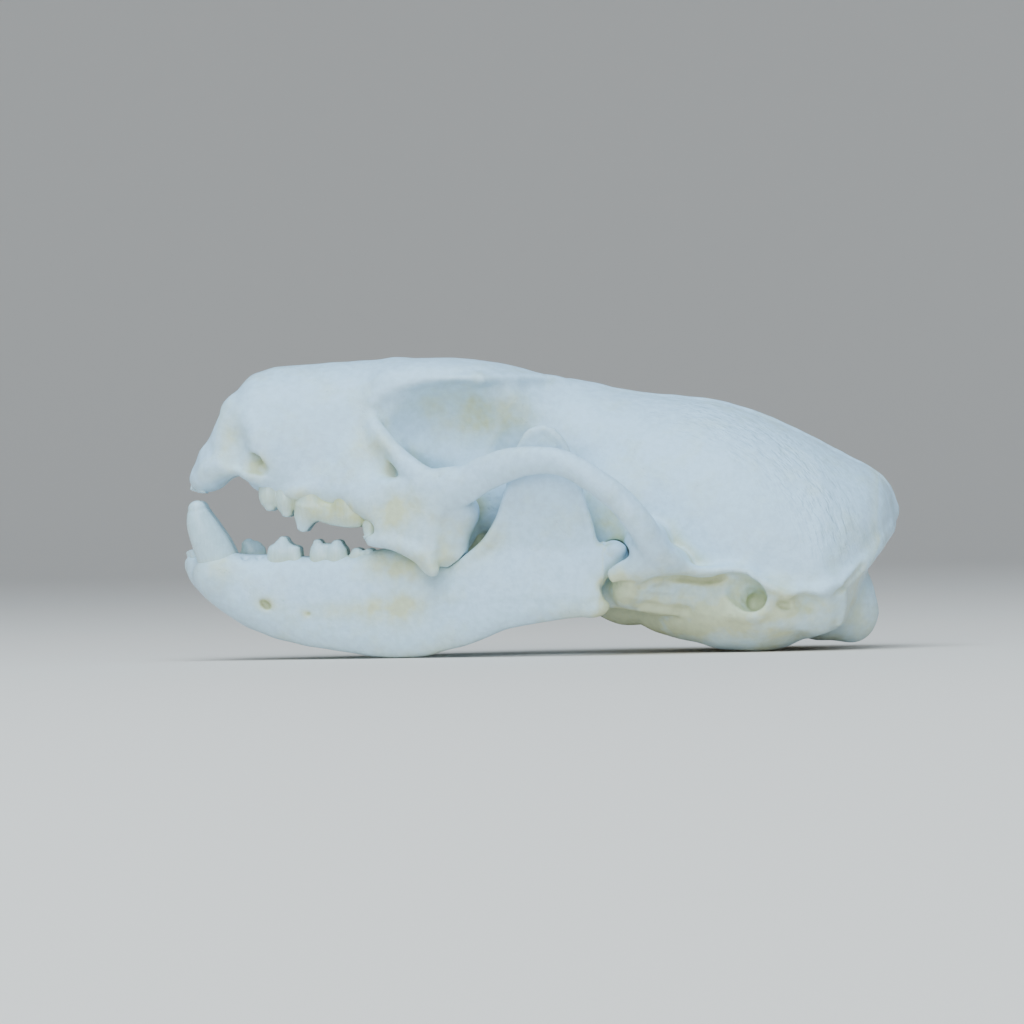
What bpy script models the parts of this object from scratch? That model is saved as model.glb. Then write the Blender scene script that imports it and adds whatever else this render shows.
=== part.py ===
"""Mink skull with its lower jaws in place, life size, resting on a table.

The tables are in millimetres: "s" is the distance behind the front of the jaws, "y" is negative on the
animal's left and "z" is the height above the table. Run: blender --background --python part.py
"""

import math

import bmesh
import bpy
import numpy as np
from mathutils import Matrix, Vector

MM = 0.001
SKULL_LENGTH = 67.25  # front of the jaws to the nuchal crest
PART_GAP = 0.3  # clear space between two touching pieces
MIDLINE_GAP = 0.15  # half of that space, kept by each lower jaw at the chin
LEFT, RIGHT = -1, 1

BONE_VOXEL = 0.38
FINE_VOXEL = 0.3
BONE_SMOOTHING = 5
FINE_SMOOTHING = 3
BEAM_STEP = 0.9
STEEPEST_LEVEL = 0.2  # a rod steeper than this has its sections turned by the skull's axis, not by the table
ROD_STEPS = 3  # rings to each row of a rod's table
OUTLINE_GROWTH = 0.08  # gives back what smoothing and thinning take off the outline
SEAT_GROWTH = 0.45  # how much wider than an ear capsule's tables its seat in the braincase is
REST_DROP = 0.08  # lowers the tables to where the jaws and the ear capsules touch the table

ROSTRUM_TRIANGLES = 2500
BRAINCASE_TRIANGLES = 2300
JAW_TRIANGLES = 1080
BULLA_TRIANGLES = 340

# Each piece's colour and roughness: chalky white bone, a yellower and smoother ear capsule.
LOOKS = {
    "rostrum": ((0.74, 0.79, 0.78, 1.0), 0.55),
    "braincase": ((0.78, 0.83, 0.84, 1.0), 0.55),
    "zygomatic_arch": ((0.77, 0.82, 0.83, 1.0), 0.5),
    "auditory_bulla": ((0.68, 0.70, 0.62, 1.0), 0.45),
    "mandible": ((0.74, 0.79, 0.79, 1.0), 0.5),
}
SHARP_ANGLE = math.radians(50)

# The face: s, top, bottom, half width, height of the widest line, roundness above and below it.
FACE = (
    (0.5, 18.1, 16.5, 2.6, 17.3, 3.0, 2.0),
    (1.2, 19.8, 16.4, 3.3, 17.7, 3.4, 2.2),
    (2.4, 21.4, 16.3, 4.1, 18.2, 3.4, 2.2),
    (3.6, 23.9, 16.8, 5.1, 18.9, 3.0, 2.4),
    (5.4, 25.9, 17.6, 6.3, 19.6, 2.6, 2.8),
    (6.6, 27.0, 17.0, 6.8, 19.8, 2.3, 3.2),
    (7.7, 27.35, 16.2, 7.0, 19.6, 2.2, 3.6),
    (8.8, 27.65, 15.5, 7.1, 19.0, 2.2, 3.8),
    (11.1, 27.8, 14.4, 7.1, 18.0, 2.2, 3.8),
    (14.0, 27.95, 13.6, 7.6, 18.5, 2.2, 3.6),
    (16.8, 28.1, 12.7, 8.1, 19.5, 2.3, 3.2),
    (18.6, 28.2, 12.1, 8.1, 20.5, 2.3, 2.8),
    (20.2, 28.25, 13.4, 7.4, 22.5, 2.3, 2.0),
)

# The braincase and the roof between the orbits, in the same terms.
CASE = (
    (15.0, 27.9, 15.0, 6.6, 24.0, 2.3, 1.6),
    (20.0, 28.25, 12.4, 7.5, 25.0, 2.4, 1.25),
    (24.0, 28.25, 11.8, 7.5, 25.6, 2.5, 1.2),
    (28.4, 27.9, 11.2, 7.6, 25.2, 2.4, 1.25),
    (30.7, 27.4, 10.8, 6.9, 24.0, 2.2, 1.35),
    (33.0, 26.75, 10.2, 6.4, 21.5, 2.1, 1.5),
    (35.2, 26.15, 9.5, 6.8, 18.6, 2.0, 1.6),
    (37.5, 25.6, 8.6, 8.0, 16.2, 1.95, 1.7),
    (39.7, 25.05, 7.6, 9.5, 14.4, 1.95, 1.8),
    (43.1, 24.4, 6.1, 11.7, 12.4, 2.0, 2.1),
    (46.5, 24.0, 4.8, 13.2, 10.8, 2.05, 2.4),
    (50.0, 23.5, 3.7, 14.2, 9.6, 2.1, 2.8),
    (52.1, 22.95, 3.3, 14.6, 9.0, 2.1, 3.0),
    (56.6, 21.1, 2.6, 14.9, 7.9, 2.1, 3.2),
    (58.9, 20.0, 2.0, 14.9, 7.5, 2.1, 3.2),
    (61.1, 18.75, 2.0, 13.9, 7.8, 2.1, 2.8),
    (62.6, 17.95, 3.0, 12.6, 8.6, 2.1, 2.2),
    (64.1, 17.2, 7.4, 10.6, 9.8, 2.1, 1.9),
    (65.5, 16.2, 9.9, 8.2, 11.0, 2.1, 1.9),
    (66.7, 14.8, 11.1, 5.0, 12.3, 2.0, 2.0),
    (67.3, 13.4, 12.3, 1.6, 12.8, 2.0, 2.0),
)

# The hard palate, from the cheek teeth back to its rear edge.
PALATE = (
    (9.0, 18.0, 15.5, 6.2, 16.6, 3.0, 3.5),
    (14.0, 17.0, 13.5, 6.9, 15.0, 3.0, 3.5),
    (17.0, 16.0, 12.5, 7.6, 14.0, 2.6, 3.2),
    (19.4, 15.0, 11.5, 7.0, 13.0, 2.4, 3.0),
    (22.0, 13.6, 10.5, 5.4, 12.0, 2.4, 3.0),
    (25.0, 12.8, 9.4, 4.3, 11.0, 2.4, 3.0),
    (26.6, 12.2, 9.2, 3.8, 10.6, 2.4, 2.6),
)

# The wing of bone on each side of the throat, ending in its hook: s, top, bottom, y, half thickness.
PTERYGOID = (
    (21.5, 14.0, 9.6, 4.0, 0.9),
    (25.0, 13.4, 8.9, 3.7, 0.85),
    (29.0, 12.8, 8.0, 3.1, 0.6),
    (33.0, 12.0, 7.0, 2.8, 0.55),
    (36.0, 9.6, 6.1, 2.8, 0.5),
    (38.2, 6.9, 5.6, 3.0, 0.35),
)

# The cheek plate over the molars, in level cuts: z, front s and y, rear s and y, half thickness.
CHEEK_PLATE = (
    (7.9, 23.1, 11.95, 23.5, 12.0, 0.30),
    (9.0, 22.1, 11.6, 23.7, 12.1, 0.45),
    (10.1, 20.2, 10.8, 23.8, 12.2, 0.65),
    (11.0, 17.8, 9.3, 23.8, 12.1, 0.95),
    (12.6, 16.6, 8.2, 24.5, 12.1, 1.2),
    (14.2, 16.6, 7.9, 26.0, 12.6, 1.2),
    (15.4, 17.2, 8.3, 27.5, 13.4, 1.1),
    (16.6, 20.4, 10.3, 27.8, 13.6, 0.8),
)

# The bar between the orbit and the infraorbital foramen: s, y, z, half depth, half height.
ORBIT_BAR = (
    (16.9, 6.6, 24.6, 0.9, 1.0),
    (17.9, 7.9, 22.2, 0.85, 0.85),
    (19.1, 9.1, 20.0, 0.8, 0.8),
    (20.6, 10.1, 18.3, 0.85, 0.8),
    (22.3, 11.2, 17.0, 0.95, 0.9),
    (24.6, 12.2, 16.0, 1.0, 1.2),
)

# The zygomatic arch: s, y, z, half thickness, half height.
ARCH = (
    (24.4, 12.1, 14.9, 1.05, 2.2),
    (26.3, 13.0, 15.7, 1.0, 1.9),
    (28.3, 14.1, 16.9, 0.95, 1.7),
    (30.4, 15.2, 17.75, 0.9, 1.6),
    (32.4, 16.1, 18.1, 0.9, 1.4),
    (34.3, 16.8, 18.15, 0.95, 1.25),
    (36.3, 17.4, 17.55, 1.0, 1.2),
    (38.2, 17.9, 16.4, 1.05, 1.25),
    (40.2, 18.2, 14.9, 1.1, 1.3),
    (41.8, 18.2, 13.2, 1.15, 1.4),
    (42.9, 17.7, 11.4, 1.3, 1.55),
    (43.8, 16.6, 9.7, 1.6, 1.7),
    (45.0, 14.9, 8.7, 1.8, 1.7),
)
ARCH_FRONT_CUT = 3.0  # the arch's own node lies between these two places, counted in rows of ARCH
ARCH_REAR_CUT = 8.5
ARCH_GAP = 0.12  # in the same count, about PART_GAP

# The upper rim of the orbit, out to the postorbital process and back to the midline as the temporal line.
BROW = (
    (17.4, 6.7, 24.4, 0.9, 0.9),
    (19.6, 7.1, 25.0, 0.9, 0.8),
    (22.5, 7.4, 25.6, 0.9, 0.75),
    (25.5, 7.8, 25.8, 1.0, 0.75),
    (28.0, 8.5, 25.5, 1.0, 0.75),
)
TEMPORAL_LINE = (
    (27.8, 8.3, 25.6, 1.0, 0.75),
    (30.5, 5.9, 26.2, 0.9, 0.6),
    (33.5, 3.3, 26.25, 0.8, 0.5),
    (37.0, 1.2, 25.35, 0.7, 0.5),
    (39.5, 0.3, 24.7, 0.6, 0.5),
)
SAGITTAL_CREST = (
    (36.5, 0.0, 25.4, 0.6, 0.45),
    (43.1, 0.0, 24.05, 0.5, 0.45),
    (49.9, 0.0, 23.2, 0.45, 0.45),
    (54.4, 0.0, 21.8, 0.45, 0.5),
    (58.9, 0.0, 19.6, 0.45, 0.5),
    (63.3, 0.0, 17.15, 0.45, 0.5),
    (65.6, 0.0, 15.75, 0.5, 0.6),
    (66.7, 0.0, 14.1, 0.5, 0.6),
)
NUCHAL_CREST = (
    (66.7, 0.0, 13.0, 0.7, 0.55),
    (66.2, 3.4, 11.9, 0.7, 0.5),
    (65.2, 7.0, 10.5, 0.7, 0.5),
    (64.1, 9.9, 9.2, 0.7, 0.5),
    (62.2, 12.6, 7.3, 0.7, 0.5),
    (60.2, 14.5, 6.2, 0.8, 0.55),
    (57.6, 15.5, 5.5, 0.9, 0.6),
    (55.2, 15.6, 5.8, 0.8, 0.6),
    (53.2, 14.9, 7.1, 0.7, 0.55),
    (51.0, 14.5, 7.6, 0.7, 0.55),
    (48.2, 14.3, 7.4, 0.9, 0.6),
    (45.6, 14.4, 8.2, 1.0, 0.7),
)

# The swollen ear capsule: s, y, z, half width, half height.
BULLA = (
    (42.6, 6.6, 4.6, 1.2, 1.4),
    (44.8, 7.2, 4.5, 2.6, 2.45),
    (48.0, 8.1, 4.45, 3.7, 3.5),
    (51.0, 9.0, 4.35, 4.3, 4.05),
    (53.5, 9.6, 4.3, 4.5, 4.15),
    (56.0, 10.0, 4.3, 3.9, 3.8),
    (57.8, 10.3, 4.3, 2.4, 2.6),
)
EAR_TUBE = (
    (52.6, 10.5, 4.7, 2.6, 2.3),
    (53.2, 13.4, 4.7, 2.1, 1.95),
    (53.4, 15.2, 4.7, 1.75, 1.7),
)
EAR_HOLE = (
    (53.2, 12.0, 4.7, 0.8, 0.9),
    (53.4, 14.4, 4.65, 1.0, 1.1),
    (53.5, 17.0, 4.6, 1.1, 1.2),
)

# One lower jaw: s, top, bottom, inner y, outer y.
JAW = (
    (-0.05, 9.7, 8.5, 0.0, 1.9),
    (0.5, 9.9, 7.5, 0.0, 2.8),
    (1.1, 9.95, 6.8, 0.0, 3.5),
    (2.2, 10.0, 5.65, 0.0, 4.4),
    (3.9, 10.1, 4.35, 0.0, 5.3),
    (5.5, 10.05, 3.35, 0.1, 5.9),
    (7.6, 9.95, 2.4, 0.8, 6.3),
    (10.0, 9.85, 1.65, 2.2, 6.7),
    (13.0, 9.6, 1.05, 3.7, 7.6),
    (16.0, 9.7, 0.55, 4.7, 8.6),
    (18.0, 10.2, 0.22, 5.4, 9.2),
    (19.5, 10.4, 0.12, 5.9, 9.6),
    (21.0, 10.2, 0.12, 6.4, 10.1),
    (23.0, 9.2, 0.38, 7.2, 10.7),
    (25.0, 8.8, 0.85, 8.2, 11.6),
    (27.5, 9.2, 1.6, 9.3, 12.7),
    (30.5, 9.4, 2.7, 10.4, 13.4),
    (34.0, 9.3, 3.3, 11.4, 14.2),
    (37.0, 8.4, 3.65, 12.3, 14.9),
    (38.6, 6.4, 3.85, 12.9, 15.1),
    (39.4, 4.9, 4.2, 13.6, 14.8),
)

# The coronoid process, in level cuts: z, front s and y, rear s and y, half thickness.
CORONOID = (
    (6.0, 24.6, 10.4, 38.3, 14.2, 0.9),
    (8.0, 25.6, 10.8, 38.6, 14.2, 0.75),
    (9.4, 27.0, 11.3, 38.9, 14.1, 0.65),
    (10.4, 28.1, 11.7, 38.6, 14.0, 0.6),
    (11.2, 28.8, 12.0, 38.2, 14.0, 0.6),
    (12.4, 29.6, 12.4, 38.0, 14.0, 0.6),
    (14.6, 30.3, 12.8, 37.4, 14.1, 0.6),
    (17.0, 30.9, 13.2, 36.7, 14.2, 0.55),
    (19.1, 31.5, 13.6, 36.1, 14.4, 0.55),
    (20.4, 32.1, 13.9, 35.3, 14.5, 0.5),
    (21.1, 32.7, 14.1, 34.6, 14.5, 0.4),
    (21.4, 33.3, 14.2, 34.0, 14.4, 0.25),
)
JAW_HINGE_S, JAW_HINGE_Z = 40.25, 9.35
CONDYLE_PROFILE = ((9.4, 0.7), (10.6, 1.15), (13.0, 1.25), (16.0, 1.25), (17.0, 0.8))  # y, radius
JAW_NECK = (
    (36.6, 13.6, 7.6, 0.8, 1.5),
    (38.4, 13.7, 8.3, 0.9, 1.4),
    (40.1, 13.4, 9.3, 1.2, 1.1),
)

# The rows of cheek teeth: s, y of the crown's middle line.
UPPER_ROW = ((7.0, 5.7), (10.4, 6.2), (13.5, 7.0), (16.6, 8.1), (19.0, 8.9))
LOWER_ROW = ((4.6, 4.4), (8.0, 4.9), (11.5, 5.6), (15.0, 6.5), (18.5, 7.6), (21.0, 8.6))

# Crowns: the cutting edge as s and z, then the height of the root inside the bone, then the half width.
UPPER_CROWNS = {
    "second_premolar": (((7.2, 15.7), (7.5, 14.5), (8.1, 13.98), (8.55, 14.3), (8.75, 15.0)), 17.2, 0.65),
    "third_premolar": (((8.65, 14.9), (9.1, 13.75), (9.6, 13.37), (10.05, 13.6), (10.4, 14.2)), 16.4, 0.75),
    "carnassial": (
        ((10.35, 13.4), (10.6, 12.15), (11.1, 11.92), (11.65, 12.2), (12.2, 12.98), (12.6, 13.25),
         (13.3, 13.0), (14.2, 12.56), (15.2, 12.32), (16.2, 12.28), (16.6, 12.9)), 15.4, 1.0),
}
LOWER_CROWNS = {
    "fourth_premolar": (
        ((7.7, 10.3), (8.2, 10.95), (8.6, 11.05), (8.9, 11.55), (9.35, 11.76), (9.9, 11.55),
         (10.4, 10.95), (11.05, 9.8)), 8.2, 0.75),
    "carnassial": (
        ((11.75, 9.9), (12.05, 11.0), (12.5, 11.38), (12.95, 11.2), (13.5, 10.78), (13.9, 11.15),
         (14.4, 11.26), (15.05, 10.9), (15.6, 10.32), (16.0, 10.42), (16.5, 10.25), (16.8, 9.95),
         (17.2, 10.25), (17.8, 10.3), (18.4, 9.7)), 7.8, 0.95),
    "second_molar": (((18.9, 9.4), (19.3, 9.95), (19.8, 10.0), (20.3, 9.4)), 7.8, 0.6),
}
LOWER_THIRD_PREMOLAR = (((4.7, 10.4), (5.1, 11.3), (5.7, 11.44), (6.6, 10.9), (7.5, 10.4)), 8.6, 0.7)
UPPER_MOLAR = (
    (18.4, 9.9, 11.5, 0.8, 0.9),
    (18.2, 8.6, 12.0, 1.0, 1.0),
    (18.2, 7.0, 12.2, 0.8, 0.85),
    (18.4, 5.6, 12.1, 1.0, 0.85),
)
LOWER_CANINE = (
    (4.3, 3.4, 7.4, 1.2, 1.5),
    (2.95, 3.8, 10.2, 1.4, 1.75),
    (1.85, 4.1, 12.2, 1.3, 1.6),
    (1.4, 4.3, 13.5, 1.15, 1.45),
    (1.25, 4.4, 14.4, 0.9, 1.1),
    (1.25, 4.4, 15.1, 0.45, 0.55),
)
UPPER_INCISORS = ((0.65, 0.75, 0.45, 16.1), (1.75, 1.0, 0.5, 16.05), (2.9, 1.6, 0.7, 15.85))
LOWER_INCISORS = ((0.5, 0.35, 0.38, 10.5), (1.35, 0.5, 0.4, 10.55), (2.15, 0.8, 0.42, 10.5))

# Hollows carved in the bone: s, y, z, half width, half height along the way in.
NOSE = (
    (0.2, 0.0, 20.6, 2.2, 2.0),
    (2.6, 0.0, 21.6, 2.9, 2.9),
    (5.5, 0.0, 22.6, 3.3, 3.3),
    (9.0, 0.0, 22.6, 3.1, 3.0),
    (12.0, 0.0, 22.2, 2.2, 2.2),
)
CANINE_SOCKET = (
    (4.7, 6.1, 16.0, 1.25, 1.1),
    (5.9, 6.0, 17.6, 1.2, 1.05),
    (7.4, 5.7, 19.6, 1.0, 0.9),
    (8.8, 5.3, 21.2, 0.7, 0.6),
)
THROAT = (
    (27.4, 0.0, 10.1, 1.9, 1.3),
    (31.0, 0.0, 9.0, 2.1, 1.9),
    (35.0, 0.0, 7.4, 2.3, 1.9),
    (39.5, 0.0, 5.2, 2.6, 1.6),
)
GLENOID_RADIUS = 1.7  # the trough that the lower jaw's condyle turns in
GLENOID_INNER_Y, GLENOID_OUTER_Y = 8.4, 19.0

# Swellings and rounded hollows of each side: centre, radii along s, y and z, tilt in the side view.
SKULL_BOSSES = (
    ("glenoid_roof", (41.6, 13.0, 11.9), (2.6, 4.6, 1.5), 0),
    ("postglenoid_process", (43.0, 13.0, 8.0), (1.7, 4.6, 2.7), -12),
    ("tuber", (24.2, 5.6, 11.6), (3.2, 2.6, 2.9), 0),
    ("canine_root", (7.6, 5.6, 19.4), (3.4, 1.9, 2.4), 40),
    ("mastoid", (57.2, 14.6, 3.9), (2.6, 1.7, 2.4), 20),
    ("paroccipital_process", (59.9, 11.6, 3.2), (1.5, 1.6, 2.2), -25),
    ("occipital_condyle", (62.1, 5.7, 4.55), (2.8, 2.7, 3.65), -6),
    ("condyle_base", (59.8, 6.0, 4.0), (3.6, 3.4, 3.1), 0),
    ("cranial_base_wing", (41.9, 5.6, 5.5), (4.0, 2.3, 2.8), 0),
)
SKULL_DIMPLES = (
    ("orbit", (24.6, 12.0, 20.4), (6.0, 6.3, 4.9), 0),
    ("socket_window", (6.9, 7.6, 18.2), (1.3, 1.1, 0.75), 32),
)
FORAMEN_MAGNUM = ("foramen_magnum", (61.2, 0.0, 6.7), (6.6, 4.7, 3.15), 0)
JAW_BOSSES = (("angular_process", (38.6, 14.3, 4.4), (1.5, 0.8, 0.75), -15),)
JAW_DIMPLES = (
    ("masseter_hollow", (33.0, 16.2, 8.8), (6.3, 1.75, 4.2), -4),
    ("mental_foramen", (7.6, 6.6, 5.3), (0.62, 0.9, 0.42), 35),
    ("second_foramen", (11.6, 7.3, 4.35), (0.35, 0.6, 0.3), 0),
)
CARNASSIAL_HEEL = ("carnassial_heel", (11.6, 5.3, 13.9), (0.9, 0.9, 1.1), 0)

SPLIT_S = 31.6  # the face and the braincase part here, at the narrowest place behind the orbits


def clear_scene():
    for obj in list(bpy.data.objects):
        bpy.data.objects.remove(obj, do_unlink=True)


def material(name):
    """The node's own material, with the look of its kind of bone."""
    colour, roughness = next(look for kind, look in LOOKS.items() if name.startswith(kind))
    made = bpy.data.materials.new(name)
    made.use_nodes = True
    shader = made.node_tree.nodes["Principled BSDF"]
    shader.inputs["Base Color"].default_value = colour
    shader.inputs["Roughness"].default_value = roughness
    shader.inputs["Metallic"].default_value = 0.0
    return made


def place(s, y, z):
    """A point of the tables, in metres, with the middle of the skull's length at x = 0."""
    return Vector((s - SKULL_LENGTH / 2, y, z - REST_DROP)) * MM


def eased(rows, at):
    """The rows of a table where its first column reads "at", on a smooth curve with no overshoot."""
    rows = np.asarray(rows, float)
    x, values = rows[:, 0], rows[:, 1:]
    step = np.diff(x)[:, None]
    slope = np.diff(values, axis=0) / step
    tangent = np.zeros_like(values)
    tangent[0], tangent[-1] = slope[0], slope[-1]
    before, after = slope[:-1], slope[1:]
    w1, w2 = 2 * step[1:] + step[:-1], step[1:] + 2 * step[:-1]
    same_way = before * after > 0
    safe_before, safe_after = np.where(same_way, before, 1), np.where(same_way, after, 1)
    tangent[1:-1] = np.where(same_way, (w1 + w2) / (w1 / safe_before + w2 / safe_after), 0)
    at = np.clip(at, x[0], x[-1])
    i = np.clip(np.searchsorted(x, at, side="right") - 1, 0, len(x) - 2)
    h = (x[i + 1] - x[i])[:, None]
    t = (at - x[i])[:, None] / h
    return ((2 * t**3 - 3 * t**2 + 1) * values[i] + (t**3 - 2 * t**2 + t) * h * tangent[i]
            + (3 * t**2 - 2 * t**3) * values[i + 1] + (t**3 - t**2) * h * tangent[i + 1])


def along(path, first=0.0, last=None, steps=ROD_STEPS):
    """Points of a path, on a smooth curve through its rows, from row "first" to row "last"."""
    path = np.asarray(path, float)
    last = len(path) - 1 if last is None else last
    count = max(2, round((last - first) * steps) + 1)
    numbered = np.column_stack([np.arange(len(path)), path])
    return eased(numbered, np.linspace(first, last, count))


def skinned(name, rings):
    """A closed mesh over a row of rings that have the same number of points, with a flat cap at each end."""
    mesh = bpy.data.meshes.new(name)
    bm = bmesh.new()
    loops = [[bm.verts.new(place(*point)) for point in ring] for ring in rings]
    sides = len(loops[0])
    for ring, following in zip(loops, loops[1:]):
        for k in range(sides):
            j = (k + 1) % sides
            bm.faces.new((ring[k], ring[j], following[j], following[k]))
    bm.faces.new(loops[0])
    bm.faces.new(loops[-1])
    bmesh.ops.recalc_face_normals(bm, faces=bm.faces)
    bm.to_mesh(mesh)
    bm.free()
    obj = bpy.data.objects.new(name, mesh)
    bpy.context.scene.collection.objects.link(obj)
    return obj


def oval(half_width, above, below, power_above, power_below, sides):
    """Points (across, up) round a section whose upper and lower halves differ in height and roundness."""
    points = []
    for k in range(sides):
        angle = 2 * math.pi * k / sides
        upper = k <= sides / 2
        power = power_above if upper else power_below
        across = math.copysign(abs(math.cos(angle)) ** (2 / power), math.cos(angle)) * half_width
        up = abs(math.sin(angle)) ** (2 / power)
        points.append((across, up * above if upper else -up * below))
    return points


def vault(name, rows, sides, step=BEAM_STEP):
    """A body on the midline from rows of s, top, bottom, half width, widest height and two roundnesses."""
    stations = np.arange(rows[0][0], rows[-1][0], step)
    stations = np.append(stations, rows[-1][0])
    rings = []
    for s, (top, bottom, width, widest, above, below) in zip(stations, eased(rows, stations)):
        shape = oval(width, top - widest, widest - bottom, above, below, sides)
        rings.append([(s, across, widest + up) for across, up in shape])
    return skinned(name, rings)


def bar(name, rows, side, sides=16, power=2.6, step=BEAM_STEP):
    """A bar along the skull from rows of s, top, bottom, inner y and outer y."""
    stations = np.append(np.arange(rows[0][0], rows[-1][0], step), rows[-1][0])
    rings = []
    for s, (top, bottom, inner, outer) in zip(stations, eased(rows, stations)):
        middle, half = (inner + outer) / 2, (outer - inner) / 2
        shape = oval(half, (top - bottom) / 2, (top - bottom) / 2, power, power, sides)
        rings.append([(s, side * (middle + across), (top + bottom) / 2 + up) for across, up in shape])
    return skinned(name, rings)


def plate(name, levels, side, sides=20, step=0.8):
    """A thin upright plate from level cuts: z, front s and y, rear s and y, half thickness."""
    heights = np.append(np.arange(levels[0][0], levels[-1][0], step), levels[-1][0])
    rings = []
    for z, (s0, y0, s1, y1, half) in zip(heights, eased(levels, heights)):
        middle = Vector(((s0 + s1) / 2, (y0 + y1) / 2))
        reach = Vector(((s1 - s0) / 2, (y1 - y0) / 2))
        out = Vector((-reach.y, reach.x)).normalized() * half
        shape = oval(1.0, 1.0, 1.0, 3.2, 3.2, sides)
        ring = [middle + reach * across + out * up for across, up in shape]
        rings.append([(point.x, side * point.y, z) for point in ring])
    return skinned(name, rings)


def rod(name, path, side=1, sides=12, first=0.0, last=None, steps=ROD_STEPS, power=2.0):
    """A bent rod through rows of s, y, z, half thickness across and half height."""
    rows = along(path, first, last, steps)
    centres = rows[:, :3]
    rings = []
    for i, (s, y, z, thick, high) in enumerate(rows):
        ahead, behind = centres[min(i + 1, len(rows) - 1)], centres[max(i - 1, 0)]
        way = Vector(ahead - behind).normalized()
        level = way.cross(Vector((0, 0, 1)))
        turned = level if level.length > STEEPEST_LEVEL else way.cross(Vector((1, 0, 0)))
        across = turned.normalized() if not rings or turned.dot(across) > 0 else -turned.normalized()
        up = across.cross(way)
        shape = oval(thick, high, high, power, power, sides)
        ring = [Vector((s, y, z)) + across * a + up * b for a, b in shape]
        rings.append([(point.x, side * point.y, point.z) for point in ring])
    return skinned(name, rings)


def ball(row, side=1, segments=24, rings=14):
    """An ellipsoid from its name, centre, radii and tilt."""
    name, (s, y, z), radii, tilt = row
    mesh = bpy.data.meshes.new(name)
    bm = bmesh.new()
    bmesh.ops.create_uvsphere(bm, u_segments=segments, v_segments=rings, radius=1.0)
    turn = Matrix.Rotation(math.radians(tilt), 4, "Y")
    shape = Matrix.Translation(place(s, side * y, z)) @ turn @ Matrix.Diagonal((*(Vector(radii) * MM), 1.0))
    bmesh.ops.transform(bm, matrix=shape, verts=bm.verts)
    bm.to_mesh(mesh)
    bm.free()
    obj = bpy.data.objects.new(name, mesh)
    bpy.context.scene.collection.objects.link(obj)
    return obj


def block(name, low, high):
    """A box between two corners of the tables."""
    mesh = bpy.data.meshes.new(name)
    bm = bmesh.new()
    bmesh.ops.create_cube(bm, size=1.0)
    a, b = place(*low), place(*high)
    shape = Matrix.Translation((a + b) / 2) @ Matrix.Diagonal((*(b - a), 1.0))
    bmesh.ops.transform(bm, matrix=shape, verts=bm.verts)
    bm.to_mesh(mesh)
    bm.free()
    obj = bpy.data.objects.new(name, mesh)
    bpy.context.scene.collection.objects.link(obj)
    return obj


def half_space(s, side):
    """A box over everything on one side of an upright plane across the skull."""
    far = 2 * SKULL_LENGTH
    start, end = sorted((s, s + side * far))
    return block("half_space", (start, -far, -far), (end, far, far))


def bake_modifiers(obj):
    """Puts the evaluated shape in the object's own mesh."""
    graph = bpy.context.evaluated_depsgraph_get()
    mesh = bpy.data.meshes.new_from_object(obj.evaluated_get(graph))
    obj.modifiers.clear()
    obj.data = mesh
    return obj


def boolean(obj, operation, others, solver="EXACT"):
    """One Boolean on a collection of closed meshes, applied. The collection and its objects are removed."""
    group = bpy.data.collections.new(obj.name + "_" + operation.lower())
    bpy.context.scene.collection.children.link(group)
    for other in others:
        bpy.context.scene.collection.objects.unlink(other)
        group.objects.link(other)
    modifier = obj.modifiers.new(operation.title(), "BOOLEAN")
    modifier.operation = operation
    modifier.operand_type = "COLLECTION"
    modifier.collection = group
    modifier.solver = solver
    bake_modifiers(obj)
    for other in others:
        bpy.data.objects.remove(other, do_unlink=True)
    bpy.data.collections.remove(group)
    return obj


def union(name, pieces, solver="EXACT"):
    whole = pieces[0]
    whole.name = name
    return boolean(whole, "UNION", pieces[1:], solver) if len(pieces) > 1 else whole


def cut(obj, cutters, solver="EXACT"):
    return boolean(obj, "DIFFERENCE", cutters, solver)


def even_mesh(obj, voxel=BONE_VOXEL):
    """Covers the object in faces of one size."""
    remesh = obj.modifiers.new("Fuse", "REMESH")
    remesh.mode = "VOXEL"
    remesh.voxel_size = voxel * MM
    return bake_modifiers(obj)


def soften(obj, voxel=BONE_VOXEL, rounds=BONE_SMOOTHING):
    """Runs the joined pieces into one organic surface."""
    even_mesh(obj, voxel)
    smooth = obj.modifiers.new("Soften", "SMOOTH")
    smooth.factor = 0.5
    smooth.iterations = rounds
    grow = obj.modifiers.new("Grow", "DISPLACE")
    grow.strength = OUTLINE_GROWTH * MM
    grow.mid_level = 0.0
    return keep_largest(bake_modifiers(obj))


def thin_out(obj, triangles):
    """Merges faces where the surface is nearly flat, down to about the number asked for."""
    thin = obj.modifiers.new("Thin", "DECIMATE")
    thin.ratio = triangles / sum(len(face.vertices) - 2 for face in obj.data.polygons)
    thin.use_collapse_triangulate = True
    return keep_largest(bake_modifiers(obj))


def keep_largest(obj):
    """Leaves only the largest closed surface of the mesh."""
    bm = bmesh.new()
    bm.from_mesh(obj.data)
    bm.faces.ensure_lookup_table()
    seen, shells = set(), []
    for face in bm.faces:
        if face.index in seen:
            continue
        shell, waiting = [], [face]
        seen.add(face.index)
        while waiting:
            here = waiting.pop()
            shell.append(here)
            for edge in here.edges:
                for beside in edge.link_faces:
                    if beside.index not in seen:
                        seen.add(beside.index)
                        waiting.append(beside)
        shells.append(shell)
    shells.sort(key=lambda shell: sum(face.calc_area() for face in shell))
    for shell in shells[:-1]:
        bmesh.ops.delete(bm, geom=shell, context="FACES")
    bm.to_mesh(obj.data)
    bm.free()
    return obj


def copy_of(obj, name):
    twin = obj.copy()
    twin.data = obj.data.copy()
    twin.name = name
    bpy.context.scene.collection.objects.link(twin)
    return twin


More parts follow.
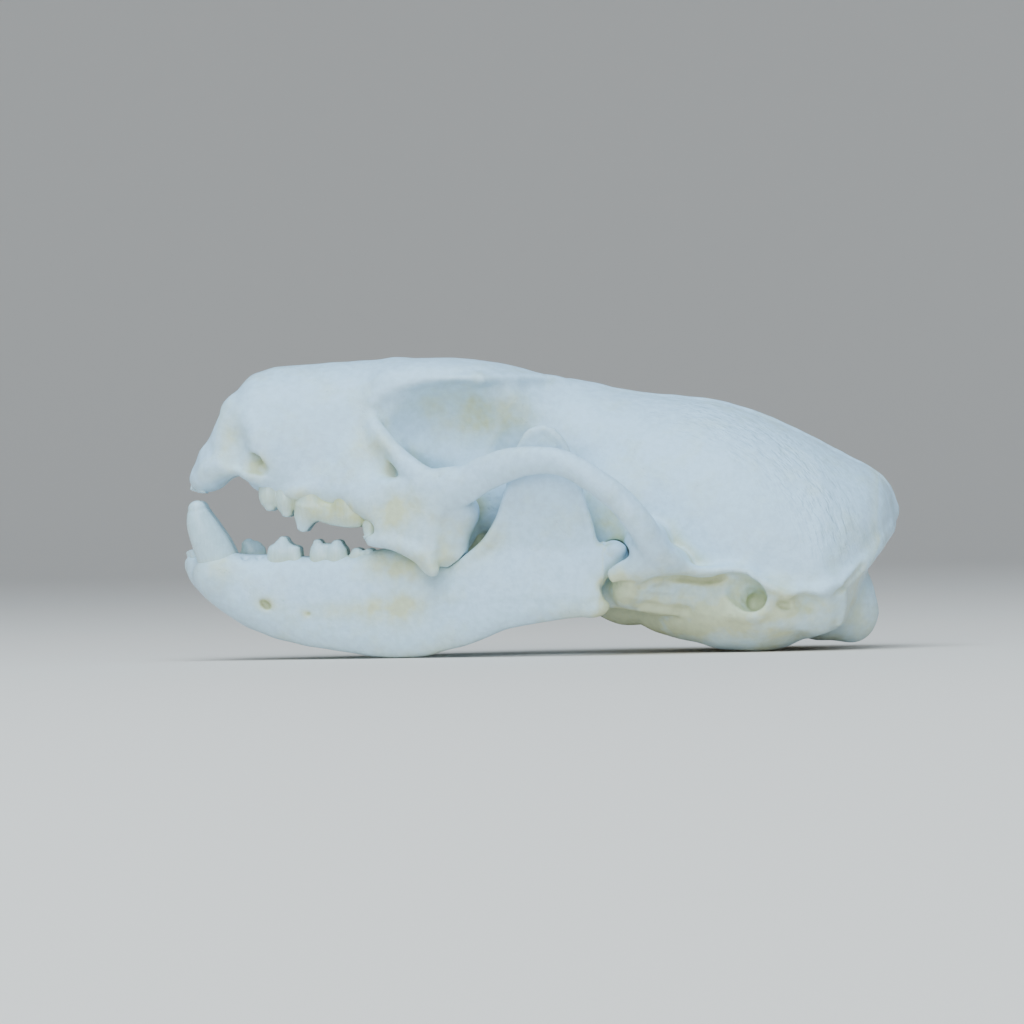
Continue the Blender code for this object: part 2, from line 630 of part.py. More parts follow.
def mirrored(obj, name):
    """The piece of the other side of the head."""
    twin = copy_of(obj, name)
    twin.data.transform(Matrix.Diagonal((1, -1, 1, 1)))
    twin.data.flip_normals()
    return twin


def row_y(row, s):
    return float(eased(row, np.array([s]))[0][0])


def crown(name, edge, root, half_width, row, side, sides=8):
    """A cheek tooth from its cutting edge, its root's height and its place on the row."""
    rings = []
    for i, (s, z) in enumerate(edge):
        end = i in (0, len(edge) - 1)
        width = half_width * (0.45 if end else 1.0)
        neck = z + (root - z) * 0.55
        low, high = min(z, root), max(z, root)
        to_root, to_edge = (2.6, 1.25) if root > z else (1.25, 2.6)
        shape = oval(width, high - neck, neck - low, to_root, to_edge, sides)
        y = row_y(row, s)
        rings.append([(s, side * (y + across), neck + up) for across, up in shape])
    return skinned(name, rings)


def peg(name, y, s, radius, tip, root, lean, side):
    """A small front tooth from its root down or up to its tip."""
    middle = (root + tip) / 2
    shoulder = tip + (middle - tip) * 0.25
    path = (
        (s + lean, y * 0.9, root, radius * 0.9, radius),
        (s + lean / 3, y, middle, radius, radius),
        (s, y, shoulder, radius * 0.85, radius * 0.7),
        (s, y, tip, radius * 0.4, radius * 0.3),
    )
    return rod(name, path, side, sides=8, steps=1)


def cranium_pieces():
    pieces = [vault("face", FACE, 40), vault("case", CASE, 44), vault("palate", PALATE, 28),
              rod("sagittal_crest", SAGITTAL_CREST, sides=8)]
    for side in (LEFT, RIGHT):
        wing = [(s, top, bottom, y - half, y + half) for s, top, bottom, y, half in PTERYGOID]
        pieces += [
            bar("pterygoid", wing, side, sides=10),
            plate("cheek_plate", CHEEK_PLATE, side),
            rod("orbit_bar", ORBIT_BAR, side),
            rod("brow", BROW, side, sides=10),
            rod("temporal_line", TEMPORAL_LINE, side, sides=8),
            rod("nuchal_crest", NUCHAL_CREST, side, sides=8),
            rod("arch_front_root", ARCH, side, last=ARCH_FRONT_CUT),
            rod("arch_rear_root", ARCH, side, first=ARCH_REAR_CUT),
        ]
        pieces += [ball(row, side) for row in SKULL_BOSSES]
    return pieces


def cranium_hollows():
    hollows = [rod("nose", NOSE, sides=20, power=2.4), rod("throat", THROAT, sides=12), ball(FORAMEN_MAGNUM)]
    for side in (LEFT, RIGHT):
        trough = [(JAW_HINGE_S, y, JAW_HINGE_Z, GLENOID_RADIUS, GLENOID_RADIUS)
                  for y in (GLENOID_INNER_Y, GLENOID_OUTER_Y)]
        hollows += [rod("canine_socket", CANINE_SOCKET, side), rod("glenoid", trough, side, sides=20)]
        hollows += [ball(row, side) for row in SKULL_DIMPLES]
    return hollows


def upper_teeth():
    teeth = []
    for side in (LEFT, RIGHT):
        teeth += [crown(name, edge, root, half, UPPER_ROW, side)
                  for name, (edge, root, half) in UPPER_CROWNS.items()]
        teeth.append(rod("molar", UPPER_MOLAR, side, sides=10, steps=2))
        teeth += [peg("incisor", y, s, radius, tip, 17.6, 0.5, side) for y, s, radius, tip in UPPER_INCISORS]
        teeth.append(ball(CARNASSIAL_HEEL, side, segments=10, rings=6))
    return teeth


def build_cranium():
    """The face and the braincase, modelled as one and parted by a thin cut."""
    whole = union("cranium", cranium_pieces())
    soften(cut(whole, cranium_hollows()))
    parts = []
    halves = (("rostrum", ROSTRUM_TRIANGLES, -1), ("braincase", BRAINCASE_TRIANGLES, 1))
    for name, triangles, way in halves:
        piece = copy_of(whole, name)
        cut(piece, [half_space(SPLIT_S + way * PART_GAP / 4, -way)], "MANIFOLD")
        thin_out(even_mesh(piece), triangles)
        cut(piece, [half_space(SPLIT_S + way * PART_GAP / 2, -way)], "MANIFOLD")
        if name == "braincase":
            cut(piece, bulla_pieces(LEFT, SEAT_GROWTH) + bulla_pieces(RIGHT, SEAT_GROWTH), "MANIFOLD")
        parts.append(keep_largest(piece))
    bpy.data.objects.remove(whole, do_unlink=True)
    face, case = parts
    return union("rostrum", [face, *upper_teeth()], "MANIFOLD"), case


def build_arch():
    first, last = ARCH_FRONT_CUT + ARCH_GAP, ARCH_REAR_CUT - ARCH_GAP
    return rod("zygomatic_arch_left", ARCH, LEFT, first=first, last=last)


def grown(path, growth):
    """The rows of a rod that is longer at both ends and wider all round by "growth"."""
    rows = np.array(path)
    for end, beside in ((0, 1), (-1, -2)):
        out = rows[end, :3] - rows[beside, :3]
        rows[end, :3] += out * (growth / np.linalg.norm(out))
    rows[:, 3:] += growth
    return rows


def bulla_pieces(side, growth=0.0):
    """The ear capsule and the tube to its hole, or their seat in the braincase, larger by "growth"."""
    return [rod("auditory_bulla", grown(BULLA, growth), side, sides=24),
            rod("ear_tube", grown(EAR_TUBE, growth), side, sides=20)]


def build_bulla():
    bulla = union("auditory_bulla_left", bulla_pieces(LEFT))
    cut(bulla, [rod("ear_hole", EAR_HOLE, LEFT, sides=16)])
    return thin_out(soften(bulla, FINE_VOXEL, FINE_SMOOTHING), BULLA_TRIANGLES)


def build_jaw(side, name, with_third_premolar):
    condyle = [(JAW_HINGE_S, y, JAW_HINGE_Z, radius, radius) for y, radius in CONDYLE_PROFILE]
    pieces = [bar(name, JAW, side, sides=24), plate("coronoid", CORONOID, side, sides=24),
              rod("jaw_neck", JAW_NECK, side), rod("condyle", condyle, side, sides=16)]
    jaw = union(name, pieces + [ball(row, side) for row in JAW_BOSSES])
    cut(jaw, [ball(row, side, segments=12, rings=8) for row in JAW_DIMPLES])
    thin_out(soften(jaw, FINE_VOXEL, FINE_SMOOTHING), JAW_TRIANGLES)
    teeth = [crown(tooth, edge, root, half, LOWER_ROW, side)
             for tooth, (edge, root, half) in LOWER_CROWNS.items()]
    if with_third_premolar:
        edge, root, half = LOWER_THIRD_PREMOLAR
        teeth.append(crown("third_premolar", edge, root, half, LOWER_ROW, side))
    teeth.append(rod("canine", LOWER_CANINE, side, sides=12, steps=2))
    teeth += [peg("incisor", y, s, radius, tip, 9.0, 0.3, side) for y, s, radius, tip in LOWER_INCISORS]
    union(name, [jaw, *teeth], "MANIFOLD")
    low_y, high_y = sorted((side * MIDLINE_GAP, -side * SKULL_LENGTH))
    far = SKULL_LENGTH
    other_side = block("other_side", (-far, low_y, -far), (far, high_y, far))
    return keep_largest(cut(jaw, [other_side], "MANIFOLD"))


def main():
    clear_scene()
    face, case = build_cranium()
    arch, bulla = build_arch(), build_bulla()
    nodes = [face, case, arch, bulla,
             build_jaw(LEFT, "mandible_left", False), build_jaw(RIGHT, "mandible_right", True)]
    nodes += [mirrored(arch, "zygomatic_arch_right"), mirrored(bulla, "auditory_bulla_right")]
    group = bpy.data.collections.new("mink_skull")
    bpy.context.scene.collection.children.link(group)
    for node in nodes:
        bpy.context.scene.collection.objects.unlink(node)
        group.objects.link(node)
        node.data.materials.clear()
        node.data.materials.append(material(node.name))
        node.data.shade_smooth()
        node.data.set_sharp_from_angle(angle=SHARP_ANGLE)


main()
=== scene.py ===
"""Mink skull, life size: its bone, teeth and a plain studio round it.

The tables are in millimetres: "s" is the distance behind the front of the jaws, "y" is the distance from the
midline and "z" is the height, before the skull is let down on to the floor. Every bone is worked out as a
field of distances to its surface on one side of the head, then covered with a mesh.
"""

import math

import bmesh
import bpy
import numpy as np
from mathutils import Matrix, Vector


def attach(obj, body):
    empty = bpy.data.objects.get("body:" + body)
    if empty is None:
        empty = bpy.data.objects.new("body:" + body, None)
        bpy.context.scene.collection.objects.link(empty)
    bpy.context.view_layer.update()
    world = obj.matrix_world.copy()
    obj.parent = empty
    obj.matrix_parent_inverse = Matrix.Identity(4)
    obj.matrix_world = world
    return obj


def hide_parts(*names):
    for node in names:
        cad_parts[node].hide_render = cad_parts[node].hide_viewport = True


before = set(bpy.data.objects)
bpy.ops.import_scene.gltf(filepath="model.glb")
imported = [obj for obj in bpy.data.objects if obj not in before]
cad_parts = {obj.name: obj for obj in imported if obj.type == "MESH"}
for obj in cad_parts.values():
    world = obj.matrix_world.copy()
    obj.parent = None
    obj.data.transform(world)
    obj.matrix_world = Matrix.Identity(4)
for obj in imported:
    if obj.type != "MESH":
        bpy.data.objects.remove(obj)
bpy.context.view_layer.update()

bl_info = {
    "name": "Mink Skull",
    "version": (1, 0, 0),
    "blender": (4, 5, 0),
    "location": "View3D > Sidebar > Skull",
    "description": "Builds a life-size mink skull with its lower jaws and teeth on a studio floor",
    "category": "Object",
}

MM = 0.001
SKULL_LENGTH = 67.25  # its middle lies over the middle of the floor
REST_DROP = 0.08  # how far the skull is let down
LEFT, RIGHT = -1, 1

# How fields are worked out, in millimetres.
FAR = 6.0  # the distance that a field starts from
REACH = 3.0  # how far round a form its distances are worked out
LEAST_SLOPE = 0.02  # keeps distances finite where a form is level
SLOPE_REACH = 0.75  # grid steps to each side for a normal
SETTLE_ROUNDS, SETTLE_MOST = 2, 0.2  # how often and how far a point is moved on to the surface
PATH_STEPS = 4  # points of a rod for each row of its table
BAR_SQUARENESS, PLATE_SQUARENESS = 2.6, 3.2  # 2 makes a cut an ellipse, and more makes it squarer
VAULT_EDGE, BAR_EDGE, PLATE_EDGE = 0.8, 0.5, 0.4  # how round the edges of the end faces are
CUSP_BLEND = 0.4  # how far the cusps of one tooth run together
MIDLINE_GAP, MIDLINE_EDGE = 0.15, 0.3  # between each lower jaw and the midline
SIDE_SEARCH_END, SIDE_SEARCH_STEP = 19.6, 0.05  # where the side of the skull is looked for
MERGE_DISTANCE = 0.000002  # metres
UNEVENNESS = 0.012  # height of the waves in the bone
WAVES = (  # radians per mm along s, y and z, and the start
    (1.1, 0.7, -0.9, 0.4),
    (-0.6, 1.3, 0.8, 1.9),
    (1.9, -0.5, 1.4, 2.6),
    (0.9, 2.1, -1.6, 4.4),
    (-2.4, 1.1, 1.2, 5.3),
)

# The boxes that the fields are worked out in: low and high corner.
CRANIUM_BOX = ((-0.6, 0.0, -0.6), (68.2, 20.4, 29.2))
JAW_BOX = ((-0.8, -0.6, -0.6), (42.4, 18.6, 22.2))
UPPER_TEETH_BOX = ((6.4, 3.4, 10.4), (20.0, 11.4, 18.0))
LOWER_TEETH_BOX = ((0.0, 1.4, 4.0), (21.2, 9.4, 16.0))

# The studio, in metres and watts. Lights: name, place, size, power, colour.
FLOOR_RADIUS, WALL_BEND, WALL_HEIGHT = 1.1, 0.7, 1.3
FLOOR_SIDES, BEND_STEPS = 96, 12
FLOOR_ROUGHNESS = 0.8
LIGHTS = (
    ("overhead_softbox", (-0.1, -0.25, 0.6), 0.6, 5.2, (0.66, 0.86, 1.0)),
    ("front_fill", (-0.12, -0.9, 0.3), 0.6, 5.2, (0.76, 0.91, 1.0)),
)
LIGHT_TARGET = (0, 0, 0.01)
AIR_COLOUR, AIR_STRENGTH = (0.58, 0.80, 1.0, 1.0), 0.7
CAMERA_PLACE = (-0.002815, -0.75, 0.01343)
CAMERA_ROLL = 1.133  # degrees
VIEW_WIDTH = 0.09656  # what the camera takes in at the midline of the skull
SENSOR_WIDTH = 36.0  # millimetres

# The face: s, top, bottom, half width, height of the widest line, roundness above and below it.
FACE = (
    (1.0, 18.9, 16.8, 2.6, 17.6, 3.0, 2.0),
    (1.6, 20.2, 16.6, 3.4, 17.9, 3.4, 2.2),
    (2.5, 21.4, 16.6, 4.1, 18.3, 3.4, 2.2),
    (3.6, 23.8, 17.0, 5.1, 18.9, 3.0, 2.4),
    (5.4, 25.8, 17.7, 6.1, 19.6, 2.6, 2.6),
    (6.6, 26.95, 17.2, 6.5, 20.0, 2.4, 2.8),
    (7.7, 27.3, 16.5, 6.7, 19.8, 2.3, 3.2),
    (8.8, 27.6, 15.8, 6.8, 19.2, 2.3, 3.6),
    (11.1, 27.75, 14.9, 6.9, 18.4, 2.3, 3.8),
    (14.0, 27.9, 14.5, 6.9, 18.8, 2.3, 3.6),
    (16.8, 28.05, 13.8, 6.6, 20.2, 2.4, 3.2),
    (18.6, 28.15, 13.2, 6.3, 21.6, 2.5, 2.6),
    (20.2, 28.18, 13.2, 5.8, 23.0, 2.4, 2.0),
    (21.6, 28.05, 13.6, 5.2, 24.0, 2.3, 1.6),
)

# The braincase with the roof between the orbits, and the palate, in the same terms.
CASE = (
    (16.0, 26.6, 15.0, 5.6, 23.0, 2.3, 1.6),
    (20.0, 28.1, 12.4, 7.0, 25.8, 2.4, 1.25),
    (24.0, 28.17, 11.8, 7.2, 26.3, 2.5, 1.5),
    (28.4, 27.83, 11.2, 7.2, 26.0, 2.4, 1.6),
    (30.7, 27.4, 10.8, 6.9, 24.6, 2.2, 1.35),
    (33.0, 26.75, 10.2, 6.4, 21.5, 2.1, 1.5),
    (35.2, 26.15, 9.5, 6.8, 18.6, 2.0, 1.6),
    (37.5, 25.6, 8.6, 8.0, 16.2, 1.95, 1.7),
    (39.7, 25.05, 7.6, 9.5, 14.4, 1.95, 1.8),
    (43.1, 24.4, 6.1, 11.7, 12.4, 2.0, 2.1),
    (46.5, 24.0, 4.8, 13.2, 10.8, 2.05, 2.4),
    (50.0, 23.5, 3.7, 14.2, 9.6, 2.1, 2.8),
    (52.1, 22.95, 3.3, 14.6, 9.0, 2.1, 3.0),
    (56.6, 21.1, 2.6, 14.9, 7.9, 2.1, 3.2),
    (58.9, 20.0, 2.0, 14.9, 7.5, 2.1, 3.2),
    (61.1, 18.75, 2.0, 13.9, 7.8, 2.1, 2.8),
    (62.6, 17.95, 3.0, 12.6, 8.6, 2.1, 2.2),
    (64.1, 17.2, 7.4, 10.6, 9.8, 2.1, 1.9),
    (65.5, 16.2, 9.9, 8.2, 11.0, 2.1, 1.9),
    (66.4, 14.9, 11.1, 5.0, 12.3, 2.0, 2.0),
    (66.95, 13.5, 12.2, 1.6, 12.8, 2.0, 2.0),
)
PALATE = (
    (9.0, 18.0, 15.5, 5.6, 16.6, 3.0, 3.5),
    (14.0, 17.0, 14.3, 6.4, 15.2, 3.0, 3.5),
    (17.0, 16.0, 13.2, 7.2, 14.4, 2.6, 3.2),
    (19.4, 15.0, 12.2, 7.0, 13.4, 2.4, 3.0),
    (22.0, 13.6, 11.0, 5.6, 12.2, 2.4, 3.0),
    (25.0, 12.8, 9.6, 4.3, 11.0, 2.4, 3.0),
    (26.6, 12.2, 9.2, 3.8, 10.6, 2.4, 2.6),
)

# The wing of bone on each side of the throat: s, top, bottom, inner y, outer y.
PTERYGOID = (
    (21.5, 14.0, 9.6, 3.1, 4.9),
    (25.0, 13.4, 8.9, 2.85, 4.55),
    (29.0, 12.8, 8.0, 2.5, 3.7),
    (33.0, 12.0, 7.0, 2.25, 3.35),
    (36.0, 9.6, 6.1, 2.3, 3.3),
    (38.2, 6.9, 5.6, 2.65, 3.35),
)

# The cheek plate over the molars, in level cuts: z, front s and y, rear s and y, half thickness.
CHEEK_PLATE = (
    (7.9, 22.7, 11.8, 23.6, 12.15, 0.5),
    (9.0, 21.8, 11.4, 23.8, 12.2, 0.65),
    (10.1, 20.2, 10.8, 23.8, 12.2, 0.8),
    (10.9, 18.4, 9.9, 23.9, 12.2, 0.85),
    (12.4, 18.0, 9.4, 24.1, 12.2, 1.0),
    (13.6, 17.2, 8.6, 24.7, 12.4, 1.1),
    (14.6, 16.0, 7.7, 25.5, 12.7, 1.1),
    (15.5, 16.8, 7.9, 26.2, 13.1, 1.0),
    (16.4, 19.8, 9.4, 27.0, 13.6, 0.8),
)

# Bars, arches and crests: s, y, z, half thickness, half height.
CHEEK_RIDGE = (
    (17.6, 9.5, 11.15, 0.5, 0.5),
    (19.9, 10.9, 10.8, 0.6, 0.5),
    (21.8, 11.9, 10.0, 0.6, 0.5),
    (23.0, 12.35, 9.1, 0.6, 0.5),
    (23.4, 12.5, 8.2, 0.5, 0.5),
)
TOOTH_RIDGE = (
    (7.5, 4.4, 17.2, 1.7, 1.3),
    (9.5, 4.6, 16.6, 1.9, 1.7),
    (12.0, 4.9, 16.3, 2.1, 1.9),
    (14.5, 5.5, 15.9, 2.4, 2.1),
    (16.6, 6.1, 15.6, 2.7, 2.3),
    (18.6, 7.2, 14.8, 2.8, 2.4),
)
SOCKET_RIM = (
    (4.2, 4.7, 18.2, 0.6, 0.5),
    (5.2, 5.6, 17.95, 0.65, 0.5),
    (6.4, 6.1, 17.3, 0.65, 0.5),
    (7.6, 6.2, 16.9, 0.6, 0.5),
)
FORAMEN_SILL = (
    (17.4, 8.2, 16.2, 0.6, 0.6),
    (19.2, 9.0, 16.2, 0.9, 0.8),
    (21.2, 10.0, 15.9, 1.1, 1.0),
)
ORBIT_BAR = (
    (17.7, 6.0, 22.5, 0.6, 0.7),
    (18.4, 7.3, 21.2, 0.8, 0.85),
    (19.3, 8.5, 20.0, 0.85, 0.85),
    (20.2, 9.3, 18.95, 0.9, 0.95),
    (21.1, 10.0, 18.0, 0.95, 1.1),
    (22.2, 10.9, 17.0, 1.0, 1.2),
    (23.8, 11.6, 16.3, 1.0, 1.3),
    (25.4, 12.4, 16.3, 1.0, 1.4),
)
ARCH = (
    (22.6, 11.2, 15.2, 1.0, 1.7),
    (24.4, 12.0, 15.5, 1.05, 1.9),
    (26.3, 13.0, 16.0, 1.0, 1.8),
    (28.3, 14.1, 17.05, 0.95, 1.65),
    (30.4, 15.2, 17.85, 0.9, 1.55),
    (32.4, 16.1, 18.2, 0.9, 1.35),
    (34.3, 16.8, 18.2, 0.95, 1.25),
    (36.3, 17.4, 17.6, 1.0, 1.2),
    (38.2, 17.9, 16.4, 1.05, 1.2),
    (40.2, 18.1, 14.9, 1.1, 1.25),
    (41.7, 18.0, 13.3, 1.15, 1.3),
    (42.8, 17.7, 11.8, 1.2, 1.35),
    (43.7, 16.9, 10.3, 1.35, 1.5),
    (44.5, 15.5, 9.0, 1.7, 1.6),
    (45.4, 13.8, 8.6, 1.7, 1.5),
)
BROW = (
    (18.2, 6.0, 24.2, 0.6, 0.6),
    (19.6, 6.4, 25.1, 0.6, 0.5),
    (21.6, 6.8, 25.8, 0.6, 0.4),
    (24.4, 7.0, 26.1, 0.7, 0.35),
    (27.0, 7.3, 26.1, 0.8, 0.35),
    (28.2, 7.4, 25.9, 0.7, 0.35),
)
TEMPORAL_LINE = (
    (28.0, 7.6, 25.9, 0.9, 0.4),
    (30.5, 5.8, 26.0, 0.9, 0.4),
    (33.5, 3.3, 26.0, 0.8, 0.4),
    (37.0, 1.2, 25.15, 0.7, 0.4),
    (39.5, 0.3, 24.5, 0.6, 0.4),
)
SAGITTAL_CREST = (
    (36.5, 0.0, 25.35, 0.6, 0.45),
    (43.1, 0.0, 24.0, 0.5, 0.45),
    (49.9, 0.0, 23.2, 0.45, 0.45),
    (54.4, 0.0, 21.8, 0.45, 0.5),
    (58.9, 0.0, 19.6, 0.45, 0.5),
    (63.3, 0.0, 17.15, 0.45, 0.5),
    (65.4, 0.0, 15.75, 0.5, 0.5),
    (66.35, 0.0, 14.3, 0.5, 0.5),
)
NUCHAL_CREST = (
    (66.3, 0.0, 13.0, 0.7, 0.5),
    (65.9, 3.4, 11.9, 0.7, 0.5),
    (65.1, 7.0, 10.5, 0.7, 0.5),
    (64.0, 9.9, 9.1, 0.8, 0.5),
    (62.2, 12.5, 7.4, 0.8, 0.5),
    (60.2, 14.2, 6.1, 0.9, 0.5),
    (58.4, 15.0, 5.4, 0.9, 0.5),
    (56.6, 15.3, 5.4, 0.9, 0.5),
    (54.9, 15.3, 5.9, 0.9, 0.5),
    (53.6, 15.1, 6.7, 0.9, 0.5),
    (52.2, 14.9, 7.5, 0.9, 0.5),
    (50.4, 14.8, 7.7, 0.9, 0.5),
    (48.4, 14.8, 7.6, 1.0, 0.5),
    (46.8, 15.0, 8.0, 1.1, 0.6),
    (45.2, 15.6, 8.9, 1.2, 0.8),
)
BULLA = (
    (42.6, 6.6, 4.5, 1.4, 1.7),
    (44.8, 7.2, 4.4, 2.8, 2.6),
    (48.0, 8.3, 4.45, 3.9, 3.5),
    (51.0, 9.1, 4.35, 4.5, 4.1),
    (53.5, 9.6, 4.3, 4.5, 4.2),
    (56.0, 10.0, 4.3, 3.9, 3.85),
    (57.8, 10.3, 4.25, 2.6, 3.1),
)
MASTOID_BODY = (
    (49.0, 12.0, 5.2, 1.1, 1.6),
    (51.0, 12.8, 5.0, 1.4, 1.9),
    (53.0, 13.4, 4.7, 1.5, 2.0),
    (55.2, 13.6, 4.4, 1.4, 2.0),
    (57.5, 13.0, 4.2, 1.4, 2.1),
    (59.3, 12.2, 4.0, 1.4, 2.1),
    (60.3, 11.4, 4.0, 1.1, 1.9),
)
EAR_LIP = (
    (48.2, 12.2, 4.3, 0.5, 0.45),
    (50.0, 13.2, 3.9, 0.55, 0.45),
    (51.8, 14.3, 3.5, 0.55, 0.45),
    (53.1, 14.8, 3.45, 0.55, 0.45),
    (54.1, 14.8, 4.0, 0.5, 0.45),
    (54.6, 14.7, 5.0, 0.45, 0.45),
)
EAR_FOLD = (
    (54.4, 14.3, 3.6, 0.4, 0.35),
    (56.0, 14.0, 2.9, 0.4, 0.35),
    (57.6, 13.2, 2.6, 0.4, 0.35),
)

# Ridges and grooves laid on the side of the skull: s, z, depth under the surface, half width, half height.
PAROCCIPITAL_EDGE = (
    (61.2, 6.0, 0.2, 0.35, 0.4),
    (61.3, 4.8, 0.2, 0.35, 0.4),
    (61.1, 3.6, 0.2, 0.35, 0.4),
    (60.8, 2.7, 0.2, 0.35, 0.4),
)
EAR_GROOVE = (
    (42.6, 6.3, 0.0, 0.5, 0.25),
    (44.2, 7.0, 0.1, 0.6, 0.28),
    (46.9, 7.05, 0.1, 0.6, 0.3),
    (48.7, 6.9, 0.1, 0.6, 0.3),
    (50.4, 7.1, 0.0, 0.6, 0.32),
    (52.3, 6.9, 0.0, 0.6, 0.35),
)
CREST_GROOVE = (
    (60.8, 5.4, -0.1, 0.4, 0.3),
    (62.1, 6.5, -0.1, 0.4, 0.3),
    (63.3, 7.7, -0.1, 0.4, 0.3),
)
THROAT_STREAKS = (
    ((41.3, 5.6, 0.15, 0.3, 0.22), (43.0, 5.4, 0.1, 0.3, 0.26), (45.0, 5.0, 0.12, 0.35, 0.26),
     (47.6, 4.8, 0.2, 0.3, 0.3)),
    ((42.6, 4.3, 0.15, 0.3, 0.25), (44.4, 4.1, 0.12, 0.3, 0.28), (46.6, 3.7, 0.2, 0.3, 0.3)),
    ((41.6, 6.3, 0.2, 0.3, 0.2), (43.4, 6.1, 0.15, 0.3, 0.2), (45.4, 5.8, 0.2, 0.3, 0.2)),
)

# One lower jaw: s, top, bottom, inner y, outer y.
JAW = (
    (-0.05, 9.7, 8.5, 0.0, 1.9),
    (0.5, 9.9, 7.5, 0.0, 2.8),
    (1.1, 9.95, 6.8, 0.0, 3.5),
    (2.2, 10.0, 5.65, 0.0, 4.4),
    (3.9, 10.1, 4.35, 0.0, 5.3),
    (5.5, 10.05, 3.35, 0.1, 5.9),
    (7.6, 9.95, 2.4, 0.8, 6.3),
    (10.0, 9.85, 1.65, 2.2, 6.7),
    (13.0, 9.6, 1.05, 3.7, 7.6),
    (16.0, 9.7, 0.55, 4.7, 8.6),
    (18.0, 10.2, 0.22, 5.4, 9.2),
    (19.5, 10.4, 0.12, 5.9, 9.6),
    (21.0, 10.2, 0.12, 6.4, 10.1),
    (23.0, 9.2, 0.38, 7.2, 10.7),
    (25.0, 8.8, 0.85, 8.2, 11.6),
    (27.5, 9.2, 1.6, 9.3, 12.7),
    (30.5, 9.4, 2.7, 10.4, 13.4),
    (34.0, 9.3, 3.3, 11.4, 14.2),
    (37.0, 8.4, 3.65, 12.3, 14.9),
    (38.6, 6.4, 3.85, 12.9, 15.1),
    (39.4, 4.9, 4.2, 13.6, 14.8),
)

# Its upright blade, in level cuts like the cheek plate.
CORONOID = (
    (6.0, 24.6, 10.4, 38.3, 14.2, 0.9),
    (8.0, 25.6, 10.8, 38.6, 14.2, 0.75),
    (9.4, 27.0, 11.3, 38.9, 14.1, 0.65),
    (10.4, 28.1, 11.7, 38.6, 14.0, 0.6),
    (11.2, 28.8, 12.0, 38.2, 14.0, 0.6),
    (12.4, 29.6, 12.4, 38.0, 14.0, 0.6),
    (14.6, 30.3, 12.8, 37.4, 14.1, 0.6),
    (17.0, 30.9, 13.2, 36.7, 14.2, 0.55),
    (19.1, 31.5, 13.6, 36.1, 14.4, 0.55),
    (20.4, 32.1, 13.9, 35.3, 14.5, 0.5),
    (21.1, 32.7, 14.1, 34.6, 14.5, 0.4),
    (21.4, 33.3, 14.2, 34.0, 14.4, 0.25),
)

# The hinge, and the bars of the jaw in the terms of the arches.
HINGE_S, HINGE_Z = 40.25, 9.35
CONDYLE_PROFILE = ((9.4, 0.7), (10.6, 1.15), (13.0, 1.25), (13.7, 1.2), (14.1, 0.75))  # y, radius
JAW_NECK = (
    (36.2, 13.8, 7.4, 0.9, 1.7),
    (38.4, 14.0, 8.4, 1.1, 1.6),
    (40.1, 13.6, 9.4, 1.15, 1.15),
)
CORONOID_REAR_RIM = (
    (38.3, 14.1, 9.8, 0.45, 0.45),
    (37.8, 14.1, 12.4, 0.45, 0.4),
    (37.2, 14.2, 14.6, 0.42, 0.4),
    (36.5, 14.3, 17.0, 0.4, 0.4),
    (35.9, 14.5, 19.1, 0.38, 0.35),
    (35.1, 14.6, 20.4, 0.35, 0.3),
    (34.0, 14.5, 21.1, 0.3, 0.3),
    (33.0, 14.3, 20.9, 0.3, 0.3),
)
CORONOID_FRONT_RIM = (
    (25.8, 10.9, 8.4, 0.7, 0.6),
    (27.4, 11.4, 9.6, 0.7, 0.6),
    (28.9, 12.1, 11.2, 0.65, 0.55),
    (30.0, 12.5, 13.4, 0.6, 0.5),
    (30.8, 12.9, 16.0, 0.5, 0.45),
    (31.5, 13.4, 18.8, 0.4, 0.4),
    (32.4, 13.9, 20.4, 0.35, 0.35),
)

# Hollows along a path: s, y, z, half width, half height.
NOSE = (
    (0.2, 0.0, 20.6, 2.2, 2.0),
    (2.6, 0.0, 21.6, 2.9, 2.9),
    (5.5, 0.0, 22.6, 3.3, 3.3),
    (9.0, 0.0, 22.6, 3.1, 3.0),
    (13.0, 0.0, 22.2, 2.4, 2.4),
)
CANINE_SOCKET = (
    (6.4, 6.7, 18.55, 0.8, 0.7),
    (7.1, 6.2, 19.0, 0.68, 0.62),
    (7.8, 5.85, 19.6, 0.45, 0.42),
)
EAR_SCOOP = (
    (47.6, 16.6, 6.9, 0.7, 0.6),
    (49.8, 16.3, 6.5, 1.5, 1.1),
    (51.8, 15.4, 5.8, 1.9, 1.5),
    (53.0, 14.2, 5.1, 1.5, 1.35),
    (53.3, 13.0, 4.8, 1.0, 1.0),
    (53.0, 12.4, 4.7, 0.75, 0.75),
)
THROAT = (
    (27.4, 0.0, 10.1, 1.9, 1.3),
    (31.0, 0.0, 9.0, 2.1, 1.9),
    (35.0, 0.0, 7.4, 2.3, 1.9),
    (39.5, 0.0, 5.2, 2.6, 1.6),
)
FORAMEN_TUNNEL = (
    (16.2, 9.3, 20.2, 0.5, 0.9),
    (17.4, 9.4, 19.5, 0.95, 1.2),
    (18.5, 9.6, 18.4, 0.9, 1.05),
    (19.3, 10.0, 17.6, 0.55, 0.65),
)

JAW_CLEARANCE = 0.22  # kept between the skull and the upper edge of the jaws

# The trough that the hinge lies in.
GLENOID_RADIUS = 1.4
GLENOID_INNER_Y, GLENOID_OUTER_Y = 8.4, 19.0

# The lip of the skull outside the lower half of the hinge, laid down after the hinge trough is cut.
HINGE_LIP = (
    (43.2, 15.1, 8.4, 0.8, 1.2),
    (41.9, 15.55, 8.1, 0.5, 1.05),
    (40.8, 15.55, 7.8, 0.38, 0.9),
    (39.9, 15.45, 7.4, 0.3, 0.65),
)

